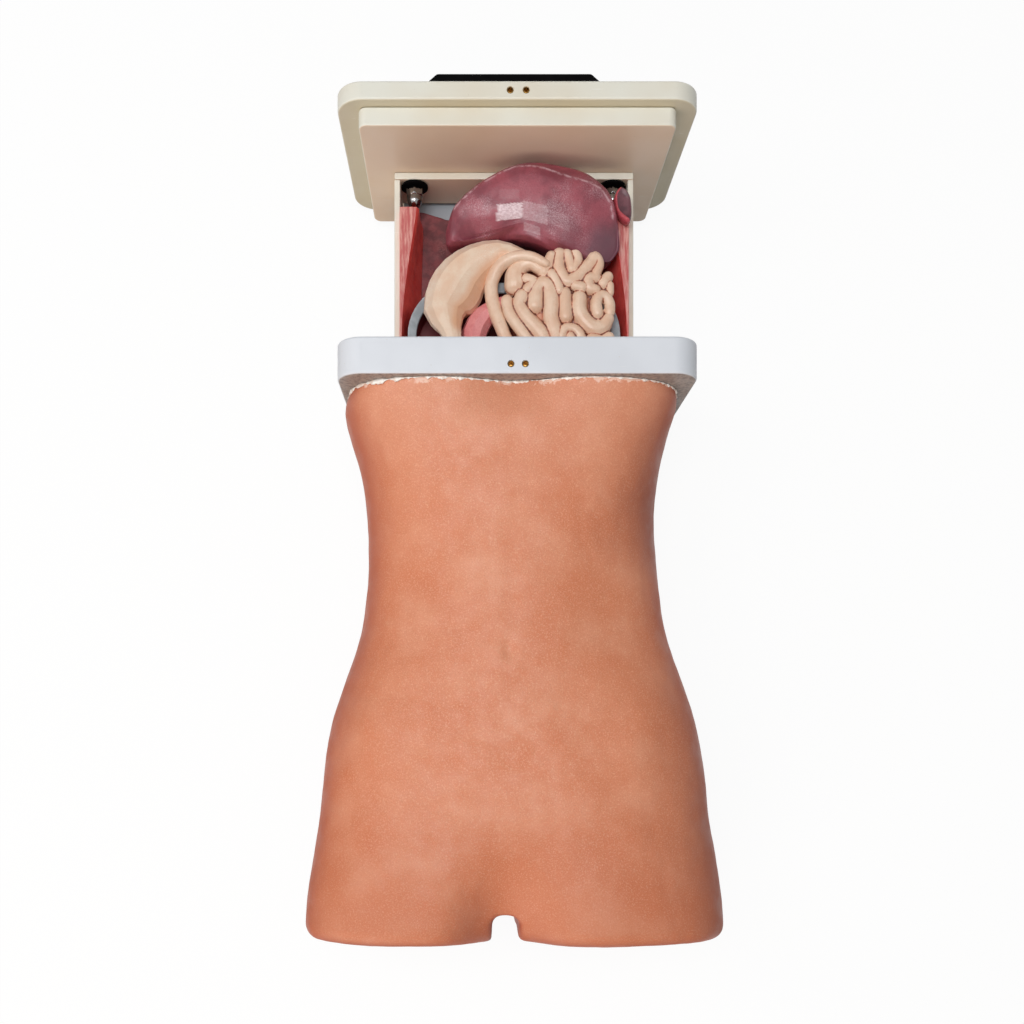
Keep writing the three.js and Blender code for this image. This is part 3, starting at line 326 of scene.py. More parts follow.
def muscle_look():
    """Muscle: a pale streaked front and saturated red sides, whose red is brighter than the paint's own, a
    painted light on their steep faces
    """
    # The red is brighter than the muscle's paint: painted light on the steep sides
    look = Look("muscle_red", srgb(250, 100, 92), 0.42)
    look.paint(srgb(230, 74, 70), look.patches(9, 4, 0.35, 0.68))
    streaks = look.patches(1.4, 4, 0.4, 0.68, roughness=0.6, stretch=(1.0, 0.12, 1.0))
    front = look.mix(streaks, srgb(190, 92, 90), srgb(222, 160, 150))
    look.paint(front, look.fade(look.facing("Z"), 0.72, 0.95))
    look.rough(4, 4, 0.3, 0.7, 0.34, 0.5)
    look.bump(look.noise(1.3, 4, 0.6, stretch=(1.0, 0.2, 1.0)), 0.12)
    return look.material


def spleen_look():
    """A dark face with a clean pink-red rim"""
    look = Look("spleen_red", srgb(104, 56, 66), 0.42)
    look.paint(srgb(74, 36, 46), look.patches(6, 4, 0.36, 0.66))
    rim = look.mix(look.patches(1.6, 4, 0.4, 0.7), srgb(196, 84, 94), srgb(172, 62, 72))
    look.paint(rim, look.fade(look.attribute("wear"), 0.35, 0.6))
    look.rough(4, 4, 0.3, 0.7, 0.34, 0.5)
    look.bump(look.noise(1.6, 4, 0.55), 0.05)
    return look.material


def basin_look(rim):
    """A pale grey rim over a tub that is dark red below it, partly red paint and partly painted shade inside
    the tub
    """
    # Dark red below the rim: partly the tub's red paint, partly painted shade inside it
    look = Look("basin_grey", srgb(112, 36, 40), 0.45)
    pale = look.mix(look.patches(7, 4, 0.35, 0.7), srgb(186, 194, 200), srgb(158, 166, 172))
    look.paint(pale, look.ramp("Z", rim - 0.4, rim))
    look.bump(look.noise(1.4, 4), 0.03)
    return look.material


def metal_look(name, colour, roughness, grain=0.6):
    look = Look(name, colour, roughness, 1.0)
    look.paint((*(value * 0.82 for value in colour[:3]), 1.0), look.patches(grain * 4, 4, 0.35, 0.7))
    look.rough(grain, 4, 0.3, 0.75, roughness, roughness + 0.14)
    look.bump(look.noise(grain, 2), 0.005)
    return look.material


def black_look(name, roughness, grain):
    look = Look(name, srgb(6, 5, 6), roughness, Specular_IOR_Level=0.03)
    look.paint(srgb(12, 11, 11), look.patches(6, 5, 0.4, 0.8))
    look.rough(4, 4, 0.3, 0.7, roughness - 0.07, roughness + 0.1)
    look.bump(look.noise(grain, 3), 0.06)
    return look.material


def glue_look():
    look = Look("dried_glue", srgb(253, 250, 244), 0.45)
    look.paint(srgb(238, 218, 204), look.patches(3, 5, 0.4, 0.62))
    look.bump(look.noise(0.8, 4), 0.15)
    return look.material


CREAM = (srgb(231, 230, 219), srgb(226, 219, 202))
# The plates' faces towards the foot get a painted warm reflection from the skin and organs
cream = plastic_look("cream_plastic", *CREAM, foot_bounce=0.45)
cover_cream = plastic_look("cover_cream", *CREAM, foot_bounce=0.6, bounce_colour=srgb(206, 190, 152))
white = plastic_look("white_plastic", srgb(222, 226, 233), srgb(214, 218, 225), 0.5, flange_high.y)
grey = plastic_look("grey_plastic", srgb(190, 196, 202), srgb(168, 172, 178), 0.5)
board = plastic_look("board_plastic", srgb(201, 198, 187), srgb(186, 180, 166), 0.65)
skin_vinyl = skin_look()
glue_paint = glue_look()
black_plastic = black_look("black_plastic", 0.6, 0.7)
black_rubber = black_look("black_rubber", 0.65, 0.5)
# The chrome's colour is darker than polished steel's: painted shade in its reflections, for the dark
# surroundings it would mirror
chrome = metal_look("chrome_steel", srgb(144, 142, 142), 0.06)
brass = metal_look("brass", srgb(184, 144, 80), 0.24, 0.3)
liver_paint = painted_look(
    "liver_purple", srgb(156, 74, 86), srgb(122, 54, 66), srgb(214, 176, 184), 0.42, 16.0, 0.75
)
stomach_paint = painted_look(
    "stomach_cream", srgb(240, 214, 190), srgb(233, 196, 168), srgb(250, 240, 228), 0.38, 12.0, 0.55,
    srgb(222, 160, 118),
)
pancreas_paint = painted_look(
    "pancreas_pink", srgb(226, 144, 142), srgb(210, 116, 118), srgb(238, 190, 184), 0.38, 9.0
)
sheet_paint = painted_look(
    "muscle_dark", srgb(128, 56, 60), srgb(92, 34, 40), srgb(176, 120, 116), 0.5, 6.0, 0.7
)
gut_paint = gut_look()
muscle_paint = muscle_look()
spleen_paint = spleen_look()
basin_paint = basin_look(basin_high.z - 4)


# Meshes
def new_piece(name, points, faces, material, smooth=True):
    mesh = bpy.data.meshes.new(name)
    mesh.from_pydata([tuple(value * MM for value in point) for point in points], [], faces)
    mesh.validate()
    mesh.materials.append(material)
    if smooth:
        mesh.shade_smooth()
    return placed(name, mesh)


def modify(piece, kind, **settings):
    """Adds a modifier of that kind"""
    made = piece.modifiers.new(kind.lower(), kind)
    for name, value in settings.items():
        setattr(made, name, value)


def apply_modifiers(piece):
    """The piece's modifiers become part of its mesh"""
    depsgraph = bpy.context.evaluated_depsgraph_get()
    old = piece.data
    made = bpy.data.meshes.new_from_object(piece.evaluated_get(depsgraph))
    piece.modifiers.clear()
    piece.data = made
    bpy.data.meshes.remove(old)


def edited(piece, change):
    """The piece, after change has worked on its mesh"""
    mesh = bmesh.new()
    mesh.from_mesh(piece.data)
    change(mesh)
    mesh.to_mesh(piece.data)
    mesh.free()
    return piece


def round_edges(piece, edge, angle, steps):
    """Bevels the edges that are sharper than the angle"""

    def bevel(mesh):
        sharp = [e for e in mesh.edges if e.calc_face_angle(0) > math.radians(angle)]
        bmesh.ops.bevel(
            mesh, geom=sharp, offset=edge * MM, offset_type="OFFSET", segments=steps, profile=0.5,
            affect="EDGES", clamp_overlap=True,
        )

    return edited(piece, bevel)


def loft_faces(rings, count, closed=False):
    """Quads between rings of points, with a face over each end, or on from the last ring to the first"""
    faces = []
    for ring in range(rings if closed else rings - 1):
        low, high = ring * count, (ring + 1) % rings * count
        for side in range(count):
            after = (side + 1) % count
            faces.append((low + side, low + after, high + after, high + side))
    if not closed:
        faces.append(tuple(reversed(range(count))))
        faces.append(tuple(range((rings - 1) * count, rings * count)))
    return faces


def loft(name, rings, material, closed=False):
    """A closed mesh over rings of points, with its faces turned outwards"""
    points = [point for ring in rings for point in ring]
    made = new_piece(name, points, loft_faces(len(rings), len(rings[0]), closed), material)
    return edited(made, lambda mesh: bmesh.ops.recalc_face_normals(mesh, faces=mesh.faces))


def crisp(piece, angle=38):
    """Flat faces stay flat, and rounded edges shade smoothly"""
    piece.data.shade_smooth()
    piece.data.set_sharp_from_angle(angle=math.radians(angle))
    modify(piece, "WEIGHTED_NORMAL", keep_sharp=True, weight=60)
    return piece


def circle(count, shift=0.0):
    """Cosine and sine at even steps round a circle"""
    turns = [2 * math.pi * (side + shift) / count for side in range(count)]
    return [(math.cos(turn), math.sin(turn)) for turn in turns]


def quarter(steps, start=0):
    """Cosine and sine at even steps over a quarter turn"""
    turns = [math.radians(start + 90 * step / steps) for step in range(steps + 1)]
    return [(math.cos(turn), math.sin(turn)) for turn in turns]


def rounded_ring(width, low, high, corner, y, steps=10):
    """A rectangle with round corners in the X-Z plane"""
    half = width / 2
    corner = max(corner, 0.05)
    centres = [
        (half - corner, low + corner, -90), (half - corner, high - corner, 0),
        (-half + corner, high - corner, 90), (-half + corner, low + corner, 180),
    ]
    return [
        (x + corner * cos, y, z + corner * sin)
        for x, z, start in centres for cos, sin in quarter(steps, start)
    ]


def rounded_plate(name, width, low, high, corner, span, edge, material, steps):
    """A plate across the body, with rounded corners and rounded rims"""
    start, end = span
    rims = [(edge + 1.2, start)]
    rims += [(edge * (1 - sin), start + edge * (1 - cos)) for cos, sin in quarter(steps)]
    rims += [(inset, start + end - y) for inset, y in reversed(rims)]
    rings = [
        rounded_ring(width - 2 * inset, low + inset, high - inset, max(corner - inset, 0.4), y)
        for inset, y in rims
    ]
    return loft(name, rings, material)


def bevelled(name, outline, low, high, edge, material, steps=3):
    """An outline in the X-Y plane, given a thickness and rounded edges"""
    rings = [[(x, y, level) for x, y in outline] for level in (low, high)]
    return crisp(round_edges(loft(name, rings, material), edge, 25, steps))


def lathe(name, profile, place, material, axis="Y", sides=40):
    """A profile of (radius, height) turned about a line through place, closed at both ends"""
    rings = []
    for radius, height in profile:
        ring = []
        for cos, sin in circle(sides):
            across, along = max(radius, 0.01) * cos, max(radius, 0.01) * sin
            offset = (across, height, along) if axis == "Y" else (across, along, height)
            ring.append([centre + shift for centre, shift in zip(place, offset)])
        rings.append(ring)
    return loft(name, rings, material)


def carve(piece, *cutters):
    """Cuts the cutters out of the piece"""
    for cutter in cutters:
        modify(piece, "BOOLEAN", operation="DIFFERENCE", solver="EXACT", object=cutter)
    apply_modifiers(piece)
    for cutter in cutters:
        bpy.data.objects.remove(cutter)
    return piece


def remesh(piece, size, smoothing):
    """Rebuilds a solid from even quads of that size, and smooths it"""
    modify(piece, "REMESH", mode="VOXEL", voxel_size=size * MM, use_smooth_shade=True)
    modify(piece, "SMOOTH", factor=0.5, iterations=smoothing)
    apply_modifiers(piece)


def mark(piece, name, values):
    """Stores one number for each point of the mesh"""
    layer = piece.data.attributes.new(name, "FLOAT", "POINT")
    layer.data.foreach_set("value", np.asarray(values, np.float32))


def rows_of(piece, name):
    """The places ("co") or normals ("normal") of the mesh's points"""
    values = np.zeros(len(piece.data.vertices) * 3, np.float32)
    piece.data.vertices.foreach_get(name, values)
    return values.reshape(-1, 3)


def points_of(piece):
    """The mesh's points, in millimetres"""
    return rows_of(piece, "co").astype(float) / MM


def rising(value, start, span):
    """0 up to start, 1 from start + span on, and even between"""
    return np.clip((value - start) / span, 0, 1)


def finish_piece(piece, body, slot, *nodes):
    """Where the piece belongs: the body that it moves with and the nodes it stands for. Its finish, slot, is
    not used.
    """
    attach(piece, body)
    if nodes:
        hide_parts(*nodes)


# The torso's form
def between(stations, place):
    """Smooth value between stations (place, value)"""
    if place <= stations[0][0]:
        return stations[0][1]
    if place >= stations[-1][0]:
        return stations[-1][1]
    last = len(stations) - 1
    index = max(i for i, station in enumerate(stations) if station[0] <= place)

    def slope(i):
        low, high = stations[max(0, i - 1)], stations[min(last, i + 1)]
        return (high[1] - low[1]) / (high[0] - low[0])

    (start, first), (end, second) = stations[index], stations[index + 1]
    span = end - start
    t = (place - start) / span
    rise = (2 * t**3 - 3 * t**2 + 1) * first + (3 * t**2 - 2 * t**3) * second
    return rise + (t**3 - 2 * t**2 + t) * span * slope(index) + (t**3 - t**2) * span * slope(index + 1)


# Stations (share of the torso's length, value), from the head end to the base
TORSO_FLARE = [
    (0, -5.2), (0.014, -3.8), (0.03, -3.6), (0.065, -6.5), (0.125, -11.9), (0.21, -15.3), (0.3, -14.6),
    (0.36, -12.8), (0.44, -8.5), (0.53, 1.7), (0.61, 9.8), (0.68, 13.9), (0.76, 16.2), (0.85, 20.5),
    (0.93, 24.3), (1, 25.2),
]
TORSO_SHIFT = [
    (0, 1.5), (0.04, 3.4), (0.08, 3.4), (0.125, 2.8), (0.24, 1.9), (0.35, 0.4), (0.6, 0), (1, 0),
]
TORSO_FRONT_INSET = [
    (0, 3), (0.06, 6), (0.15, 10), (0.27, 12), (0.45, 10.5), (0.65, 7.5), (0.86, 6), (1, 6.5),
]
TORSO_BACK = [(0, 2), (0.09, -1.5), (1, -1.5)]
WIDEST_SHARE = [(0, 0.49), (0.27, 0.46), (0.65, 0.475), (1, 0.52)]
FRONT_SQUARENESS = [(0, 4.0), (0.06, 3.2), (0.15, 2.7), (0.3, 2.35), (0.65, 2.5), (1, 2.9)]
MIDDLE_DIP = [(0, 9), (0.03, 5), (0.08, 0), (0.7, 0), (0.83, 4), (0.925, 14), (1, 26)]
BACK_SQUARENESS = 3.4
MIDDLE_DIP_WIDTH = 27.0
FRONT_SPREAD = 1.4
BASE_ROUND = 9.0
THIGH_GAP = 17.0
THIGH_GAP_DEPTH = 18.0
THIGH_GAP_CORNER = 6.0
THIGH_GAP_SHIFT = 6.5
HEAD_OVERRUN = 8.0


def torso_ring(share, y, inset, count=168):
    """The torso's outline at that share of its length"""
    turns = -2 * math.pi * np.arange(count) / count
    across, along = np.cos(turns) * FRONT_SPREAD, np.sin(turns)
    front = along >= 0
    middle = between(WIDEST_SHARE, share) * PLATE_DEPTH
    width = PLATE_WIDTH / 2 + between(TORSO_FLARE, share) - inset
    front_depth = PLATE_DEPTH - between(TORSO_FRONT_INSET, share) - middle - inset
    back_depth = middle - between(TORSO_BACK, share) - inset
    power = np.where(front, between(FRONT_SQUARENESS, share), BACK_SQUARENESS)
    depth = np.where(front, front_depth, back_depth)
    reach = (np.abs(across / width) ** power + np.abs(along / depth) ** power) ** (-1 / power)
    x = across * reach
    off = (x - THIGH_GAP_SHIFT * share) / MIDDLE_DIP_WIDTH
    dip = np.where(front, between(MIDDLE_DIP, share) * np.exp(-(off**2)), 0)
    z = np.maximum(middle + along * reach - dip * np.minimum(1, 2 * along), inset)
    x = x + between(TORSO_SHIFT, share)
    return [(float(a), y, float(b)) for a, b in zip(x, z)]


def torso_solid():
    """The torso's outer form, run on past the head end so that it can be cut there"""
    straight = TORSO_LENGTH - BASE_ROUND
    steps = 84
    places = [(straight * step / steps, 0) for step in range(steps + 1)]
    places += [(straight + BASE_ROUND * sin, BASE_ROUND * (1 - cos)) for cos, sin in quarter(6)[1:]]
    rings = [torso_ring(0, SKIN_START - HEAD_OVERRUN, 0)]
    rings += [torso_ring(below / TORSO_LENGTH, SKIN_START + below, inset) for below, inset in places]
    return loft("skin_shell", rings, skin_vinyl)


def thigh_slot():
    """What is cut out of the base to leave the narrow gap between the stumps"""
    base = SKIN_START + TORSO_LENGTH
    half, head, corner = THIGH_GAP / 2, base - THIGH_GAP_DEPTH, THIGH_GAP_CORNER
    outline = [(-half, base + 20)]
    for centre, start in ((-half + corner, 180), (half - corner, 270)):
        outline += [(centre + corner * cos, head + corner + corner * sin) for cos, sin in quarter(8, start)]
    outline.append((half, base + 20))
    levels = (-20, PLATE_DEPTH + 20)
    return loft("slot", [[(x + THIGH_GAP_SHIFT, y, z) for x, y in outline] for z in levels], skin_vinyl)


# Painted shade on the left-hand side: how dark it is, along the skin
SKIN_SHADE = [(0, 0.15), (40, 0.5), (66, 1.0), (92, 0.8), (116, 0.0), (160, 0.0), (215, 0.5), (300, 1.0)]
NAVEL = (5.0, 96.0)
MIDLINE = 4.0


def bell(x, width, y, length):
    """1 where x and y are 0, falling away over that width and length"""
    return math.exp(-((x / width) ** 2) - (y / length) ** 2)


def soft_forms(point):
    """How far the skin's front stands out, in millimetres: broad soft forms and the navel"""
    x, y = point[0] - MIDLINE, point[1]
    from_navel = (point[0] - NAVEL[0], y - NAVEL[1])
    navel = bell(from_navel[0], 3.8, from_navel[1], 5.5)
    rim = bell(from_navel[0], 9, from_navel[1], 13)
    groove = bell(x, 5.5, y - 60, 55)
    waist = bell(abs(x) - 60, 22, y - 62, 38)
    belly = bell(x, 46, y - 118, 42)
    hip = bell(abs(x) - 84, 20, y - 142, 26)
    return 1.4 * belly + 1.6 * hip - 2.0 * waist - 0.3 * groove - 1.7 * navel + 0.4 * rim


def torso_skin():
    """The vinyl skin: one shell with a little unevenness, cut off at the head end"""
    skin = carve(torso_solid(), thigh_slot())
    remesh(skin, 1.9, 9)
    points, normals = points_of(skin), rows_of(skin, "normal")
    for index, point in enumerate(points):
        unevenness = 0.5 * noise.noise(Vector(point) / 26) + 0.16 * noise.noise(Vector(point) / 7)
        front = max(0.0, float(normals[index][2]))
        points[index] = point + normals[index] * (unevenness + front * soft_forms(point))
    low, high = box("torso_skin")
    points[:, 0] = np.clip(points[:, 0], low.x, high.x)
    points[:, 1] = np.minimum(points[:, 1], high.y)
    points[:, 2] = np.clip(points[:, 2], 0, high.z)
    skin.data.vertices.foreach_set("co", (points * MM).astype(np.float32).ravel())
    skin.data.update()

    def cut(mesh):
        everything = mesh.verts[:] + mesh.edges[:] + mesh.faces[:]
        head_end = {"plane_co": (0, SKIN_START * MM, 0), "plane_no": (0, -1, 0)}
        bmesh.ops.bisect_plane(mesh, geom=everything, **head_end, clear_outer=True)

    modify(edited(skin, cut), "SOLIDIFY", thickness=SKIN_THICKNESS * MM, offset=-1)
    apply_modifiers(skin)
    skin.data.shade_smooth()
    below = points_of(skin)[:, 1] - SKIN_START
    mark(skin, "glue", np.clip(0.75 - below / 9, 0, 0.75))
    # The painted shade: SKIN_SHADE along the skin, on faces turned towards -X
    shaded = np.interp(below, *zip(*SKIN_SHADE))
    mark(skin, "shade", shaded * np.clip(-(rows_of(skin, "normal")[:, 0] + 0.2) / 0.55, 0, 1))
    finish_piece(skin, "torso", "skin_vinyl", "torso_skin")


def glue_line():
    """The ragged bead of dried glue between the skin and the flange, thicker at one corner"""
    ring = torso_ring(0, SKIN_START, 0, 620)
    rings = []
    for index, (x, y, z) in enumerate(ring):
        before, after = Vector(ring[index - 1]), Vector(ring[(index + 1) % len(ring)])
        along = (after - before).normalized()
        out = Vector((along.z, 0, -along.x))
        if out.dot(Vector((x, 0, z - PLATE_DEPTH / 2))) < 0:
            out = -out
        place = Vector((x, y, z)) / 9
        corner = math.exp(-(((x - 88) / 13) ** 2)) if z > PLATE_DEPTH / 2 else 0
        size = 0.4 + 0.55 * corner + 0.85 * noise.noise(place * 2.2) + 0.65 * noise.noise(place * 6.1)
        size = max(0.12, size)
        centre = Vector((x, y + 0.1 + 0.7 * size, z)) + out * (0.1 + 0.25 * size)
        section = []
        for side, (cos, sin) in enumerate(circle(8)):
            lump = 1 + 0.35 * noise.noise(place * 9 + Vector((side, 0, 0)))
            offset = out * cos * 0.7 * size + Vector((0, 1, 0)) * sin * 1.25 * size
            section.append(tuple(centre + offset * lump))
        rings.append(section)
    finish_piece(loft("glue_line", rings, glue_paint, True), "torso", "white_plastic")


# The plates
def insert_hole(node):
    """A hole for a brass insert, a little wider at its mouth"""
    low, high = box(node)
    centre = (low + high) / 2
    radius = (high.x - low.x) / 2 + 0.15
    profile = [(radius, low.z - centre.z - 0.3), (radius, PLATE_DEPTH - 0.5 - centre.z)]
    profile += [(radius + 0.5, PLATE_DEPTH + rise - centre.z) for rise in (0.2, 2)]
    return lathe("hole", profile, centre, cream, "Z", 32)


def insert_holes(stem):
    return [insert_hole(f"{stem}_{name}") for name, _ in SIDES]


def bolt_places():
    low, high = box("washer_right")
    centre = (low + high) / 2
    return [(name, centre.x * side, centre.z) for name, side in SIDES]


def flange_frame():
    """The flange, with a recess for the plug plate and a way through for the tray and its organs"""
    start, end, clear = FLANGE_FACE, FLANGE_FACE + FLANGE_THICKNESS, SLIDE_CLEARANCE
    size = (PLATE_WIDTH, 0, PLATE_DEPTH, PLATE_CORNER)
    flange = rounded_plate("flange_frame", *size, (start, end), 1.6, white, 6)
    plug_width, plug_thickness = plug_high.x - plug_low.x, plug_high.y - plug_low.y
    mouth = [(1.0, start - 1), (0.0, start + 0.7), (0.0, start + plug_thickness + SEAT_GAP)]
    recess = [
        rounded_ring(
            plug_width + 2 * (clear + more), plug_low.z - clear - more, plug_high.z + clear + more,
            PLUG_CORNER + clear + more, y, 6,
        )
        for more, y in mouth
    ]
    low, high = side_low.z - clear, ORGAN_TOP + clear
    way = [rounded_ring(2 * (TRAY_HALF + clear), low, high, 1.2, y, 3) for y in (start - 5, end + 5)]
    cutters = [loft("recess", recess, white), loft("way", way, white), *insert_holes("flange_insert")]
    finish_piece(crisp(carve(flange, *cutters)), "torso", "white_plastic", "flange_ring")


def drawer_plate(name, node, size, edge, material, steps, holes=()):
    """One of the drawer's two rounded plates, with a hole for each bolt"""
    low, high = box(node)
    plate = rounded_plate(name, *size, (low.y, high.y), edge, material, steps)
    ends = [(BOLT_HOLE, -10), (BOLT_HOLE, 30)]
    bolts = [lathe("hole", ends, (x, low.y, z), cream) for _, x, z in bolt_places()]
    finish_piece(crisp(carve(plate, *holes, *bolts)), "drawer", "cream_plastic", node)


def drawer_plates():
    outer = (PLATE_WIDTH, 0, PLATE_DEPTH, PLATE_CORNER)
    drawer_plate("end_cover", "end_plate", outer, 1.3, cover_cream, 6, insert_holes("plate_insert"))
    inner = (plug_high.x - plug_low.x, plug_low.z, plug_high.z, PLUG_CORNER)
    drawer_plate("plug_cover", "plug_plate", inner, 1.1, cream, 4)


def brass_inserts():
    """Four short brass tubes, each with a dark bore"""
    for stem, body in (("flange_insert", "torso"), ("plate_insert", "drawer")):
        for name, _ in SIDES:
            low, high = box(f"{stem}_{name}")
            radius = (high.x - low.x) / 2
            half = (high.z - low.z) / 2
            profile = [
                (0.0, -half), (radius, -half), (radius, half - 0.25), (radius - 0.25, half),
                (1.45, half), (1.35, half - 0.2), (1.35, -half + 1.2), (0.0, -half + 1.0),
            ]
            tube = lathe(f"{stem}_{name}_tube", profile, (low + high) / 2, brass, "Z", 32)
            finish_piece(crisp(tube), body, "brass", f"{stem}_{name}")


def tray_plates():
    """The tray's five plates of cut plastic board"""
    plates = [
        ("tray_head_plate", "cross_plate", cream, "cream_plastic", 0.7),
        ("tray_side_right", "side_plate_right", cream, "cream_plastic", 0.6),
        ("tray_side_left", "side_plate_left", cream, "cream_plastic", 0.6),
        ("tray_foot_plate", "foot_plate", cream, "cream_plastic", 0.6),
        ("tray_back_panel", "back_panel", grey, "grey_plastic", 0.4),
    ]
    for node, name, look, slot, edge in plates:
        low, high = box(node)
        outline = [(low.x, low.y), (high.x, low.y), (high.x, high.y), (low.x, high.y)]
        finish_piece(bevelled(name, outline, low.z, high.z, edge, look), "drawer", slot, node)


# The handle and its fasteners
def handle():
    low, high = box("pull_handle")
    base, top = high.y, low.y
    pad, bar, shoulder = base - 6, 11.0, 7.0
    grip, leg, end = 49.0, 57.0, high.x
    outer = [(end, base), (end, pad), (leg, pad), (leg, top + shoulder), (grip, top)]
    inner = [(leg - bar, base), (leg - bar, top + shoulder + bar / 2), (grip - bar / 2, top + bar)]
    outline = outer + [(-x, y) for x, y in reversed(outer)] + [(-x, y) for x, y in inner] + inner[::-1]
    made = bevelled("handle_bridge", outline, low.z, high.z, 2.4, black_plastic, 5)
    finish_piece(made, "drawer", "black_plastic", "pull_handle")


def fasteners():
    """For each side: a long bolt, a rubber washer and a chrome cap nut"""
    for name, x, z in bolt_places():
        low, high = box(f"handle_bolt_{name}")
        length = high.y - low.y
        profile = [
            (0.0, 1.6), (1.7, 1.6), (1.9, 0.15), (2.6, 0.0), (3.9, 0.5), (4.8, 1.7), (5.0, 2.6), (5.0, 3.4),
            (3.0, 3.45), (3.0, length - 0.5), (2.5, length), (0.0, length),
        ]
        bolt = lathe(f"long_bolt_{name}", profile, (x, low.y, z), chrome)
        finish_piece(crisp(bolt), "drawer", "chrome_steel", f"handle_bolt_{name}")
        low, high = box(f"washer_{name}")
        thick = high.y - low.y
        profile = [
            (3.4, 0.0), (7.9, 0.0), (8.5, 0.4), (8.6, 1.0), (8.5, thick - 0.4), (7.9, thick), (3.4, thick),
        ]
        rings = [
            [(x + radius * cos, low.y + height, z + radius * sin) for radius, height in profile]
            for cos, sin in circle(48)
        ]
        washer = loft(f"rubber_washer_{name}", rings, black_rubber, True)
        finish_piece(crisp(washer), "drawer", "black_rubber", f"washer_{name}")
        low, high = box(f"cap_nut_{name}")
        nut = cap_nut(f"domed_nut_{name}", x, low.y, z, high.y - low.y)
        finish_piece(nut, "drawer", "chrome_steel", f"cap_nut_{name}")


def cap_nut(name, x, y, z, height):
    """A hexagon with chamfered corners under a polished dome"""
    sides, flat, dome, sixth = 72, 5.0, 4.7, math.pi / 6
    profile = [
        (0.0, 0.0, False), (4.2, 0.0, False), (5.0, 0.35, True), (5.77, 0.8, True), (5.77, 4.0, True),
        (5.2, 4.6, True), (dome, 5.0, False), (dome, height - dome, False),
    ]
    profile += [(dome * cos, height - dome + dome * sin, False) for cos, sin in quarter(8)[1:]]
    rings = []
    for radius, rise, hexagonal in profile:
        ring = []
        for side in range(sides):
            turn = 2 * math.pi * side / sides
            limit = flat / math.cos((turn + sixth) % (math.pi / 3) - sixth) if hexagonal else radius
            reach = max(min(radius, limit), 0.01)
            ring.append((x + reach * math.cos(turn), y + rise, z + reach * math.sin(turn)))
        rings.append(ring)
    return crisp(loft(name, rings, chrome), 30)


# Organs, drawn as seen from the front: across from the tray's middle, and along from its start
DRAWN_HALF_WIDTH = 72.4
DRAWN_LENGTH = 196.0


def in_tray(x, y):
    """Where a drawn place lies in the part"""
    return x * TRAY_INSIDE / DRAWN_HALF_WIDTH, TRAY_START + y * TRAY_LENGTH / DRAWN_LENGTH


def curved(points, steps):
    """A fine line on the smooth curve through the points between the first and the last one"""
    fine = []
    for before, start, end, after in zip(points, points[1:], points[2:], points[3:]):
        linear = end - before
        square = 2 * before - 5 * start + 4 * end - after
        cube = 3 * start - before - 3 * end + after
        for share in np.linspace(0, 1, steps, endpoint=False):
            fine.append(0.5 * (2 * start + linear * share + square * share**2 + cube * share**3))
    return fine


def evenly(fine, step=0, count=0):
    """Points on a fine line: at steps of about that length, or that many round a closed line"""
    fine = np.array(fine)
    lengths = np.concatenate([[0], np.cumsum(np.linalg.norm(np.diff(fine[:, :2], axis=0), axis=1))])
    places = np.linspace(0, lengths[-1], count or max(3, round(lengths[-1] / step)) + 1, endpoint=not count)
    return np.column_stack([np.interp(places, lengths, values) for values in fine.T])


def smooth_path(points, step):
    """Points at even steps on a smooth curve through the given ones, with all their numbers"""
    points = [np.array(point, float) for point in points]
    ends = [2 * points[0] - points[1], *points, 2 * points[-1] - points[-2]]
    return evenly([*curved(ends, 24), points[-1]], step)


def closed_curve(outline, count):
    """Points at even steps on a smooth closed curve"""
    points = [np.array(point, float) for point in outline]
    return evenly([*curved([points[-1], *points, *points[:2]], 30), points[0]], count=count)


TUBE_CAP = 4


def tube_rings(path, top_at, sides, step=0.8, deep=1.0, section=None, fatter=0.0):
    """Rings of points round a path of (x, y, radius) whose top lies at the height top_at gives"""
    places = smooth_path([(x, y, radius + fatter) for x, y, radius in path], step)
    line = np.array([(*in_tray(x, y), top_at(x, y) - radius * deep) for x, y, radius in places])
    along = np.gradient(line, axis=0)
    along /= np.linalg.norm(along, axis=1)[:, None]
    stations = list(zip(line, along, places[:, 2]))

    def cap(station, sign):
        centre, ahead, radius = station
        turns = [math.pi / 2 * (1 - step_index / TUBE_CAP) for step_index in range(TUBE_CAP)]
        return [
            (centre + sign * ahead * radius * math.sin(turn), ahead, radius * math.cos(turn) + 0.01)
            for turn in turns
        ]

    rings = []
    for centre, ahead, radius in [*cap(stations[0], -1), *stations, *reversed(cap(stations[-1], 1))]:
        across = np.cross([0, 0, 1], ahead)
        across /= np.linalg.norm(across)
        rise = np.cross(ahead, across)
        rings.append([
            tuple(centre + across * radius * share + rise * radius * deep * height)
            for share, height in section or circle(sides, 0.5)
        ])
    return rings


def joined(name, parts, material):
    """One mesh of several closed bodies"""
    points, faces = [], []
    for rings in parts:
        start = len(points)
        points += [point for ring in rings for point in ring]
        faces += [tuple(start + corner for corner in face) for face in loft_faces(len(rings), len(rings[0]))]
    made = new_piece(name, points, faces, material)
    return edited(made, lambda mesh: bmesh.ops.recalc_face_normals(mesh, faces=mesh.faces))


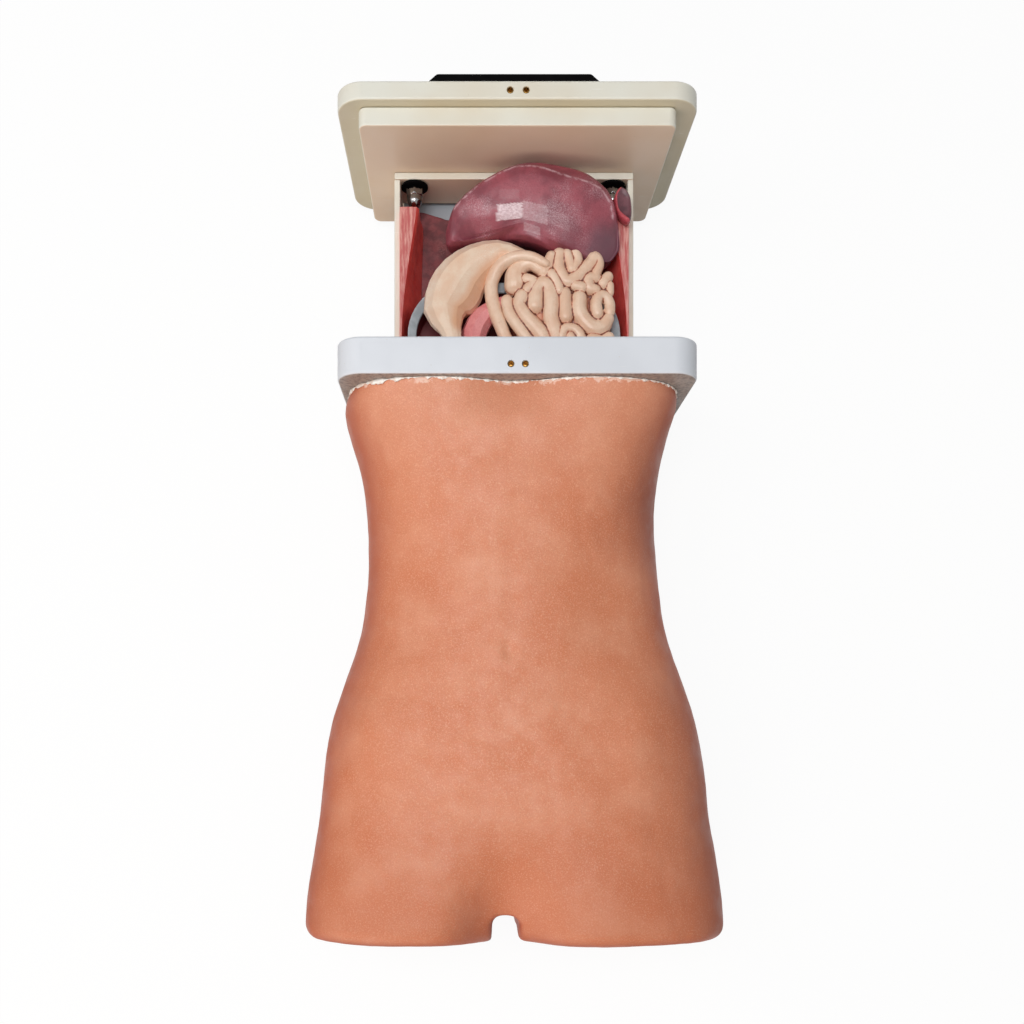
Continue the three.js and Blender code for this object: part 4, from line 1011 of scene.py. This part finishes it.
# The gut's loops, each a path of (x, y, radius)
OUTER_LOOP = [
    (-19, 66, 2.8), (-12, 62, 3.3), (-5, 60.3, 3.6), (2.3, 61, 4), (8.3, 64.2, 4.2), (12.2, 69, 4.3),
    (14.5, 75.5, 4.3), (14.5, 81.8, 4.3), (13.4, 88.3, 4.4), (11.4, 95.2, 4.4), (8.8, 102.1, 4.2),
    (5.8, 109.6, 4), (1.3, 117, 3.8),
]
GUT_PATHS = [
    [(-16, 68, 3), (-10.5, 64, 3.6), (-5, 64.7, 4.4), (-1.1, 69.3, 6), (-0.6, 76.1, 6.6)],
    [(5, 87, 3.2), (3, 95, 3.2), (-1.6, 103, 3), (-6.5, 110, 2.8), (-11.5, 117, 2.8)],
    [(-4.5, 84.7, 4), (-2.7, 90, 3.6), (-6.5, 97, 3.8), (-11.4, 102.5, 4.2), (-16.4, 108.4, 4.4),
     (-20, 115.5, 4.2)],
    [(-12.6, 90.6, 4.4), (-12.9, 83.7, 4.4), (-14.9, 78.7, 4.4), (-18.9, 77.4, 4.4), (-22.1, 82.2, 4.6),
     (-22.8, 90.1, 4.6), (-22.5, 98, 4.2), (-24.3, 105, 4.4), (-26.1, 112.8, 4.4), (-27.3, 120, 4.2)],
    [(-31, 83.5, 3.2), (-31.2, 90.6, 3.4), (-31.5, 98, 3.7)],
    [(-40, 86.3, 4.4), (-39.9, 93.1, 4.4), (-42.9, 99.5, 4.6), (-48.5, 104.1, 5), (-54.5, 103, 4.6),
     (-58.2, 98.5, 3.2)],
    [(-51.5, 95.5, 3), (-50.6, 89.6, 3), (-52.2, 85, 2.8), (-56, 84.7, 2.8), (-59, 88.6, 2.8),
     (-59.2, 94, 2.8)],
    [(-27.8, 58.5, 3.7), (-26.9, 64.4, 3.4), (-28.3, 70.5, 3.5), (-31.9, 75.8, 3.7), (-37.2, 74.3, 3.9),
     (-42.6, 68.8, 3.9), (-47.8, 63.6, 3.9), (-49.8, 60, 3.7), (-52.5, 64.4, 2.6), (-50.2, 70.8, 2.5)],
    [(-32.4, 58.5, 2.8), (-34, 63.4, 2.5), (-35, 68.1, 2.2)],
    [(-37.6, 57.3, 3.2), (-38.6, 62.6, 2.9), (-36.7, 67.9, 2.4)],
    [(-22.5, 60, 2.8), (-20.9, 64.4, 3.4), (-18.2, 69.5, 3.8)],
    [(-50.2, 73.3, 3), (-46.1, 74.3, 3.6), (-46.1, 79.4, 3.5), (-50.2, 81, 2.6)],
    [(-55, 76.5, 3.4), (-58.1, 72.1, 2.8)],
    [(-59.2, 77.7, 2), (-59.3, 82.4, 1.8)],
    [(-37.6, 78.7, 2.6), (-41.6, 79.7, 3)],
    [(-28.7, 110.4, 2.8), (-31.2, 105.9, 2.6), (-36.2, 105.7, 2.6), (-40, 109, 2.8), (-41, 113.8, 3)],
    [(-34.2, 110.4, 2.2), (-36.2, 113.8, 2.2)],
    [(-48, 112, 3.6), (-54, 112.8, 3.6), (-58.7, 110, 3)],
    [(-7.5, 74, 2.7), (-11.5, 76.5, 3), (-8, 80.5, 2.7)],
    [(-22.6, 71.5, 2.6), (-25.5, 76, 2.8), (-27.6, 82, 2.6)],
]
# The mass under the loops
GUT_CORE = [
    (-6, 62), (4, 71), (4, 109), (4, 159), (-8, 175), (-42, 175), (-57, 161), (-57, 109), (-54, 68),
    (-30, 61),
]
# What the loops swell by before the remeshing draws them in again
GUT_SWELL = 0.75
GUT_SUNK = 13.5


def lower_gut():
    """The hidden half of the gut: rows that turn back and forth across the mass"""
    points = []
    for row in range(7):
        y = 120 + row * 8.4
        turn = 1 if row % 2 == 0 else -1
        for share in (-1, -0.75, -0.5, -0.25, 0, 0.25, 0.5, 0.75, 1):
            waver = 1.6 * noise.noise(Vector((share * 2.3, row * 1.7, 0.4)))
            swell = 3.9 + 0.7 * noise.noise(Vector((share * 4.1, row * 2.9, 5.2)))
            points.append((-26.5 + turn * share * 24, y + 0.8 * turn * share + waver, swell))
    return points


def gut_top(x, y):
    """The tops of the loops lie on a low dome"""
    across = ((x + 27) / 33) ** 2
    along = min(1.0, ((y - 95) / 45) ** 2)
    return ORGAN_TOP - GUT_SUNK - 3 * across - 2.5 * along


def arch_top(x, y):
    """The loop's arch lies over the stomach's thin end"""
    return gut_top(x, y) + 2.4 * math.exp(-(((y - 60) / 13) ** 2))


def blob_rings(outline, centre, levels, count):
    """Rings of a closed outline, scaled about its centre, for each (share, height)"""
    curve = closed_curve(outline, count)
    return [
        [
            (*in_tray(centre[0] + (x - centre[0]) * share, centre[1] + (y - centre[1]) * share), height)
            for x, y in curve
        ]
        for share, height in levels
    ]


def small_intestine():
    floor, core_top = basin_low.z + 3, ORGAN_TOP - GUT_SUNK - 5.2
    levels = [(0.75, floor), (0.95, 58), (0.985, 68), (0.93, 76), (0.8, core_top - 1), (0.5, core_top)]
    core = blob_rings(GUT_CORE, (-26, 117), levels, 60)
    tubes = [tube_rings(path, gut_top, 14, fatter=GUT_SWELL) for path in [*GUT_PATHS, lower_gut()]]
    made = joined("gut_loops", [core, *tubes], gut_paint)
    remesh(made, 0.5, 3)
    mark_creases(made)
    finish_piece(made, "drawer", "gut_pink", "small_intestine")


def outer_gut_loop():
    made = loft("outer_loop", tube_rings(OUTER_LOOP, arch_top, 18), gut_paint)
    mark_creases(made)
    finish_piece(made, "drawer", "gut_pink", "outer_gut_loop")


def mark_creases(piece):
    """Notes how deep in a crease each point lies, or how far it is sunk below the loops' tops, for the
    painted shade there: 0 on open skin, 1 in a sharp groove
    """
    points, normals = points_of(piece), rows_of(piece, "normal")
    edges = np.zeros(len(piece.data.edges) * 2, np.int64)
    piece.data.edges.foreach_get("vertices", edges)
    first, second = edges.reshape(-1, 2).T
    count = np.bincount(first, minlength=len(points)) + np.bincount(second, minlength=len(points))
    count = np.maximum(count, 1)

    def neighbours(values):
        total = np.zeros_like(values)
        np.add.at(total, first, values[second])
        np.add.at(total, second, values[first])
        return total / (count[:, None] if values.ndim == 2 else count)

    hollow = ((neighbours(points) - points) * normals).sum(axis=1)
    for _ in range(2):
        hollow = 0.5 * hollow + 0.5 * neighbours(hollow)
    deep = [gut_top(x, (y - TRAY_START) * DRAWN_LENGTH / TRAY_LENGTH) - z for x, y, z in points]
    sunk = rising(np.array(deep), 3.6, 3.0) * (normals[:, 2] > 0.2)
    mark(piece, "crease", np.clip(np.maximum(hollow / 0.05, sunk), 0, 1))


def facets(piece, edge, paleness=None, levels=3, softness=0):
    """Bevels a faceted solid a little, divides its faces, softens its facets and marks where its paint is
    rubbed off, as paleness gives it"""
    if edge:
        round_edges(piece, edge, 2, 2)
    modify(piece, "SUBSURF", subdivision_type="SIMPLE", levels=levels, render_levels=levels)
    if softness:
        modify(piece, "SMOOTH", factor=0.5, iterations=softness)
    apply_modifiers(piece)
    points = points_of(piece)
    mark(piece, "wear", paleness(points) if paleness else np.zeros(len(points)))
    crisp(piece, 50)


def near_line(points, line, reach):
    """1 on a line of (x, y), 0 from reach millimetres on, seen from the front"""
    best = np.full(len(points), 1e9)
    places = [np.array(in_tray(x, y)) for x, y in line]
    for start, end in zip(places, places[1:]):
        along = end - start
        share = np.clip(((points[:, :2] - start) @ along) / (along @ along), 0, 1)
        off = points[:, :2] - start - share[:, None] * along
        best = np.minimum(best, np.linalg.norm(off, axis=1))
    return np.clip(1 - best / reach, 0, 1)


LIVER_OUTLINE = [
    (-61, 22), (-49, 8), (-33, 2.4), (-10.6, 0.8), (5.5, 5.6), (22, 14.4), (32.5, 22.6), (40, 31.4),
    (43, 39.5), (43.6, 45.5), (43.2, 51.5), (40, 56), (31, 52.8), (23, 49.2), (14, 48.2), (3, 48.6),
    (-8, 51.8), (-18, 55), (-30, 57.5), (-44, 61.5), (-57, 63.5), (-66, 54), (-64.5, 38),
]
LIVER_CENTRE = (-15, 38)
LIVER_SIDES = 36
# The worn ridge round the head side, with heights, and the edge of the front's foot side
LIVER_RIDGE = [
    (37.5, 32.6, 90), (24.5, 21.8, 94), (8.7, 13.9, 96), (0.9, 10.8, 96.5), (-8.9, 10.3, 96.5),
    (-16.7, 11.5, 96.5), (-26.5, 14.9, 96), (-36.2, 17.7, 95.5), (-45.9, 19.3, 94), (-52.8, 22.2, 92),
    (-58.6, 29.5, 89.5), (-60.6, 37.3, 87),
]
LIVER_FOOT = [(-58, 50, 0), (-44, 56, 0), (-18, 50, 0), (12, 43.5, 0), (36, 44, 0)]
# The facets that carry a painted highlight: lowest and highest corners, seen from the front, how much, and
# the slant
LIVER_HIGHLIGHTS = [
    ((-3.9, 32.8), (11.4, 41.2), 0.9, -0.04), ((-19.6, 35.0), (-4.1, 45.0), 0.3, 0.22),
    ((-33, 40), (-20, 48), 0.12, 0.3), ((-15.2, 46.4), (-5, 50.4), 0.25, 0.3),
    ((-2, 25), (10, 30.5), 0.08, 0.0),
]


def ray_reach(curve, centre, ahead):
    """How far a closed curve of (x, y, height) lies from centre in that direction, and its height"""
    found = []
    for start, end in zip(curve, [*curve[1:], curve[0]]):
        ax, ay = start[0] - centre[0], start[1] - centre[1]
        bx, by = end[0] - start[0], end[1] - start[1]
        cross = ahead[0] * by - ahead[1] * bx
        if abs(cross) > 1e-9:
            distance = (ax * by - ay * bx) / cross
            share = (ax * ahead[1] - ay * ahead[0]) / cross
            if distance > 0 and -1e-6 <= share <= 1 + 1e-6:
                found.append((distance, start[2] + (end[2] - start[2]) * share))
    return max(found)


def liver_front(x, y):
    """The height of the liver's front, which falls away gently from its ridge"""
    fall = 0.0054 * max(0, y - 16) ** 2 + 0.0021 * (x + 10) ** 2 + 0.28 * max(0, -x - 44)
    return 97.6 - fall - 0.05 * rising(x, -8, 14) * max(0, y - 37) ** 2


def liver():
    """A broad, faceted mass: a steep head side up to a ridge, and a gently domed front"""
    outline = [(x, y, 0) for x, y in closed_curve(LIVER_OUTLINE, 160)]
    ridge = [*LIVER_RIDGE, *LIVER_FOOT]
    floor = bed_high.z + 0.5
    rings = [[] for _ in range(10)]
    for ahead in circle(LIVER_SIDES, 0.3):

        def drawn(reach):
            return LIVER_CENTRE[0] + reach * ahead[0], LIVER_CENTRE[1] + reach * ahead[1]

        outer = ray_reach(outline, LIVER_CENTRE, ahead)[0]
        inner, height = ray_reach(ridge, LIVER_CENTRE, ahead)
        if height < 80:
            # The foot side: plain, overhung by a brow, or sloping down beside the stomach
            at = drawn(outer)[0]
            bag, brow = rising(at, -4, 14), rising(at, -26, 10)
            inner = outer - 4.5 * (1 + bag)
            height = liver_front(*drawn(inner)) - 0.6
            rise = 0.6 * (height - 84)
            plain = np.array([(-2, 66), (-1, 76), (0, 80), (-1.2, 80 + rise)])
            overhung = np.array([(-5, 66), (-1, 76), (0, 86), (-1.2, 86 + rise)])
            sloping = np.array([(-2, 66), (-0.4, 72), (0, 77), (-3.5, 83)])
            steps = (1 - bag) * ((1 - brow) * plain + brow * overhung) + bag * sloping
            levels = [(outer * 0.8, floor), *((outer + step, level) for step, level in steps)]
        else:
            levels = [
                (outer * 0.93, floor), (outer, 62), (outer + 0.2, 77), ((outer * 5 + inner) / 6, 84),
                ((outer + inner) / 2, (85 + height) / 2 + 1),
            ]
        levels.append((inner, height))
        levels += [(inner * share, liver_front(*drawn(inner * share))) for share in (0.8, 0.56, 0.3)]
        levels.append((1.5, liver_front(*LIVER_CENTRE)))
        for ring, (reach, z) in zip(rings, levels):
            ring.append((*in_tray(*drawn(reach)), z))
    made = loft("liver_mass", rings, liver_paint)
    line = [(x, y) for x, y, _ in LIVER_RIDGE]
    facets(made, 0, lambda points: near_line(points, line, 1.1) * (points[:, 2] > 86), 3, 14)
    points = points_of(made)
    # A painted highlight on a few facets of the liver's front
    mark(made, "painted_highlight", highlight_facets(points))
    # The lower right-hand lobe greyer and darker, partly painted shade where it lies lower
    lobe = np.clip((-points[:, 0] - 38 - 0.35 * (60 + TRAY_START - points[:, 1])) / 8, 0, 1)
    mark(made, "shade_and_tone", lobe * np.clip((points[:, 1] - TRAY_START - 36) / 12, 0, 1))
    finish_piece(made, "drawer", "liver_purple", "liver")


def highlight_facets(points):
    """How strong the painted highlight is: 0 outside the highlighted facets"""
    paleness = np.zeros(len(points))
    for low, high, share, slope in LIVER_HIGHLIGHTS:
        low, high = in_tray(*low), in_tray(*high)
        slant = slope * (points[:, 0] - low[0])
        inside = (points[:, 0] > low[0]) & (points[:, 0] < high[0])
        inside &= (points[:, 1] + slant > low[1]) & (points[:, 1] + slant < high[1]) & (points[:, 2] > 84)
        paleness = np.maximum(paleness, inside * share)
    return paleness


STOMACH_PATH = [
    (-9, 61.5, 3.5), (0, 58.8, 6), (9, 57, 8.4), (20, 60.5, 12.4), (31, 68.5, 16), (38, 79, 17.5),
    (43.5, 91, 14), (41.5, 100.5, 9.5), (39.5, 107.5, 6), (37, 117, 5),
]
STOMACH_FLATNESS = 0.62
# The section from the outer rim over the plateau to the inner edge, as shares of the half-width
STOMACH_SECTION = [
    (-1, -0.15), (-0.95, 0.28), (-0.6, 0.84), (-0.1, 1.0), (0.1, 0.99), (0.6, 0.7), (0.93, 0.22), (1, -0.12),
    (0.85, -0.7), (0, -1), (-0.85, -0.75),
]
# The inner flank: a darker, more orange tone, partly painted shade on its slope
STOMACH_DUSK = [(7, 61.5), (15.2, 67.3), (23, 76.3), (27.3, 85.1), (33.8, 92.5), (35, 101)]
PANCREAS_PATH = [(8, 87, 5), (17, 92, 7), (23.5, 100, 8), (26, 109, 8), (24, 117, 6)]
SPLEEN_OUTLINE = [(-66, 16), (-62, 23), (-64, 33), (-71, 38.5), (-73, 32), (-71.5, 21)]
SPLEEN_RIM = [(-65, 15.5), (-62, 20), (-61.6, 25), (-63.2, 32), (-70, 38.5)]
SHEET_WAVE = [(-58, 14), (-48, 17), (-38, 19), (0, 18), (38, 19), (48, 17), (58, 14)]


def stomach():
    """A flattened crescent with a bevelled rim, a plateau and a steeper inner side"""
    shape = (12, 6.5, STOMACH_FLATNESS, STOMACH_SECTION)
    made = loft("stomach_bag", tube_rings(STOMACH_PATH, lambda x, y: ORGAN_TOP - 16, *shape), stomach_paint)

    def rim(points):
        return 0.5 * rising(points[:, 2], 68, 10) * np.clip(1 - np.abs(points[:, 2] - 80) / 5, 0, 1)

    facets(made, 0.7, rim, 2)
    # The inner flank darker and more orange, partly painted shade
    mark(made, "shade_and_tone", np.clip(1.8 * near_line(points_of(made), STOMACH_DUSK, 6.5), 0, 1))
    finish_piece(made, "drawer", "stomach_cream", "stomach")


def pancreas():
    rings = tube_rings(PANCREAS_PATH, lambda x, y: ORGAN_TOP - 21, 9, 6.5, 0.9)
    made = loft("pancreas_mass", rings, pancreas_paint)
    facets(made, 0.4, None, 2)
    finish_piece(made, "drawer", "pancreas_pink", "pancreas")


def spleen():
    """A small flap with a rounded rim, on top of the left muscle wall"""
    low = box("muscle_wall_left")[1].z + SEAT_GAP
    levels = [
        (0.7, low), (0.95, low + 1), (1.0, low + 4), (0.97, low + 6.6), (0.86, low + 8), (0.6, low + 7.2),
        (0.2, low + 7),
    ]
    made = loft("spleen_flap", blob_rings(SPLEEN_OUTLINE, (-67.5, 27), levels, 28), spleen_paint)
    rim = smooth_path(SPLEEN_RIM, 1)
    facets(made, 0.2, lambda points: np.clip(1.7 * near_line(points, rim, 3.0), 0, 1), 2)
    finish_piece(made, "drawer", "muscle_red", "spleen")


def muscle_sheet():
    """The painted sheet behind the organs, with a wavy head edge"""
    low, high = bed_low, bed_high
    half, head = high.x, TRAY_START + 12
    outline = [(-half, head), *(in_tray(*point) for point in smooth_path(SHEET_WAVE, 3))]
    outline += [(half, head), (half, high.y), (-half, high.y)]
    made = bevelled("muscle_sheet", outline, low.z, high.z, 0.9, sheet_paint)
    finish_piece(made, "drawer", "muscle_red", "muscle_bed")


def muscle_walls():
    """A wedge of muscle along each side, whose front edge leans out towards the foot"""
    steps, corner = 60, BASIN_CORNER
    for name, side in SIDES:
        low, high = box(f"muscle_wall_{name}")
        outside = max(abs(low.x), abs(high.x))
        tops = [(low.y, 10.6), (TRAY_START + 95, 1.6), (high.y, 1.6)]
        feet = [(low.y, 13.6), (TRAY_START + 95, 11.8), (high.y, 10.0)]
        rings = []
        for step in range(steps + 1):
            y = low.y + (high.y - low.y) * step / steps
            top, foot = between(tops, y), between(feet, y)
            past = y - basin_low.y
            if past > 0:
                bend = corner - math.sqrt(corner**2 - (corner - min(past, corner)) ** 2)
                foot = min(foot, outside - basin_high.x - 0.3 + bend)
                top = min(top, foot - 1)
            sway = 0.5 * noise.noise(Vector((side * 3, y / 14, 0)))
            section = [
                (outside, low.z), (outside, high.z), (outside - top / 2, high.z + 0.4 * sway),
                (outside - top, high.z - 0.2), (outside - top - 1.5 * min(1, top / 10), high.z - 3),
                (outside - (top + foot) / 2 - sway, (low.z + high.z) / 2 - 2), (outside - foot, low.z),
            ]
            rings.append([(side * x, y, z) for x, z in section])
        made = loft(f"muscle_side_{name}", rings, muscle_paint)
        facets(made, 0.35, None, 1)
        finish_piece(made, "drawer", "muscle_red", f"muscle_wall_{name}")


def basin():
    """An open tub with large round corners"""
    low, high, wall = basin_low, basin_high, BASIN_WALL
    across, first, last = high.x - BASIN_CORNER, low.y + BASIN_CORNER, high.y - BASIN_CORNER
    corners = [(across, last, 0), (-across, last, 90), (-across, first, 180), (across, first, 270)]
    levels = [
        (0.6, low.z), (0.0, low.z + 0.6), (0.0, high.z - 0.6), (0.25, high.z - 0.15), (0.7, high.z),
        (wall - 0.7, high.z - 2.2), (wall - 0.25, high.z - 2.5), (wall, high.z - 3.2),
        (wall, low.z + wall + 2), (wall + 0.6, low.z + wall + 0.6), (wall + 2, low.z + wall),
    ]
    rings = []
    for inset, z in levels:
        reach = BASIN_CORNER - inset
        rings.append([
            (x + reach * cos, y + reach * sin, z)
            for x, y, start in corners for cos, sin in quarter(12, start)
        ])
    finish_piece(crisp(loft("basin_tub", rings, basin_paint)), "drawer", "grey_plastic", "organ_basin")


# Floor, backdrop and light
WHITE = (1.0, 1.0, 1.0, 1.0)


def floor():
    """A pale floor: white for the camera and in reflections, and a plain surface elsewhere"""
    size, share = 9000.0, 0.92
    look = Look("pale_floor", srgb(180, 176, 172), 0.9)
    seen = look.seen()
    plain = look.node("BsdfDiffuse", {"Color": look.mix(seen, look.base, WHITE)}).outputs[0]
    glow = look.node("Emission", {"Color": WHITE, "Strength": 1.0}).outputs[0]
    look.show("Material Output", look.times(seen, share), plain, glow)
    points = [(-size, -size, 0), (size, -size, 0), (size, size, 0), (-size, size, 0)]
    made = new_piece("pale_floor", points, [(0, 1, 2, 3)], look.material, False)
    made.location.z = -0.0002


def world_light(colour, strength):
    """An even light, which is white for the camera and in reflections"""
    world = bpy.data.worlds.new("studio")
    world.use_nodes = True
    nodes = Nodes(world.node_tree)
    lit = nodes.tree.nodes["Background"]
    nodes.set(lit, "Color", (*colour, 1))
    nodes.set(lit, "Strength", strength)
    white_light = nodes.node("Background", {"Color": WHITE})
    nodes.show("World Output", nodes.seen(), lit.outputs[0], white_light.outputs[0])
    bpy.context.scene.world = world


def soft_light(name, place, target, size, power, colour):
    data = bpy.data.lights.new(name, "AREA")
    data.shape = "DISK"
    data.size = size
    data.energy = power
    data.color = colour
    lamp = placed(name, data)
    lamp.location = place
    lamp.rotation_euler = (Vector(target) - Vector(place)).to_track_quat("-Z", "Y").to_euler()


def finish_plain_nodes():
    """The nodes that no piece stands for get their finish"""
    looks = {
        "white_plastic": white, "cream_plastic": cream, "board_plastic": board,
        "black_rubber": black_rubber, "chrome_steel": chrome,
    }
    for part in frame["record"]["subparts"]:
        node = frame["nodes"][part["node"]]
        if not node.hide_render:
            node.data.materials.clear()
            node.data.materials.append(looks[part["material_slot"]])
            node.data.shade_smooth()
            node.data.set_sharp_from_angle(angle=math.radians(35))


for build in (
    photograph_camera, torso_skin, glue_line, flange_frame, drawer_plates, brass_inserts, tray_plates, handle,
    fasteners, muscle_sheet, muscle_walls, basin, liver, spleen, stomach, pancreas, small_intestine,
    outer_gut_loop, finish_plain_nodes, floor,
):
    build()
world_light((1.0, 0.98, 0.96), 0.23)
soft_light("key_light", (0.9, -0.15, 1.35), (0.0, 0.08, 0.08), 0.7, 4.6, (1.0, 0.99, 0.98))
soft_light("front_light", (0.17, 0.0, 1.9), (0.0, 0.0, 0.06), 1.0, 16, (0.97, 0.99, 1.0))
soft_light("foot_light", (0.75, 1.25, 0.6), (0.0, -0.15, 0.08), 1.2, 8.2, (1.0, 0.84, 0.72))
bpy.context.scene.view_settings.view_transform = "Standard"
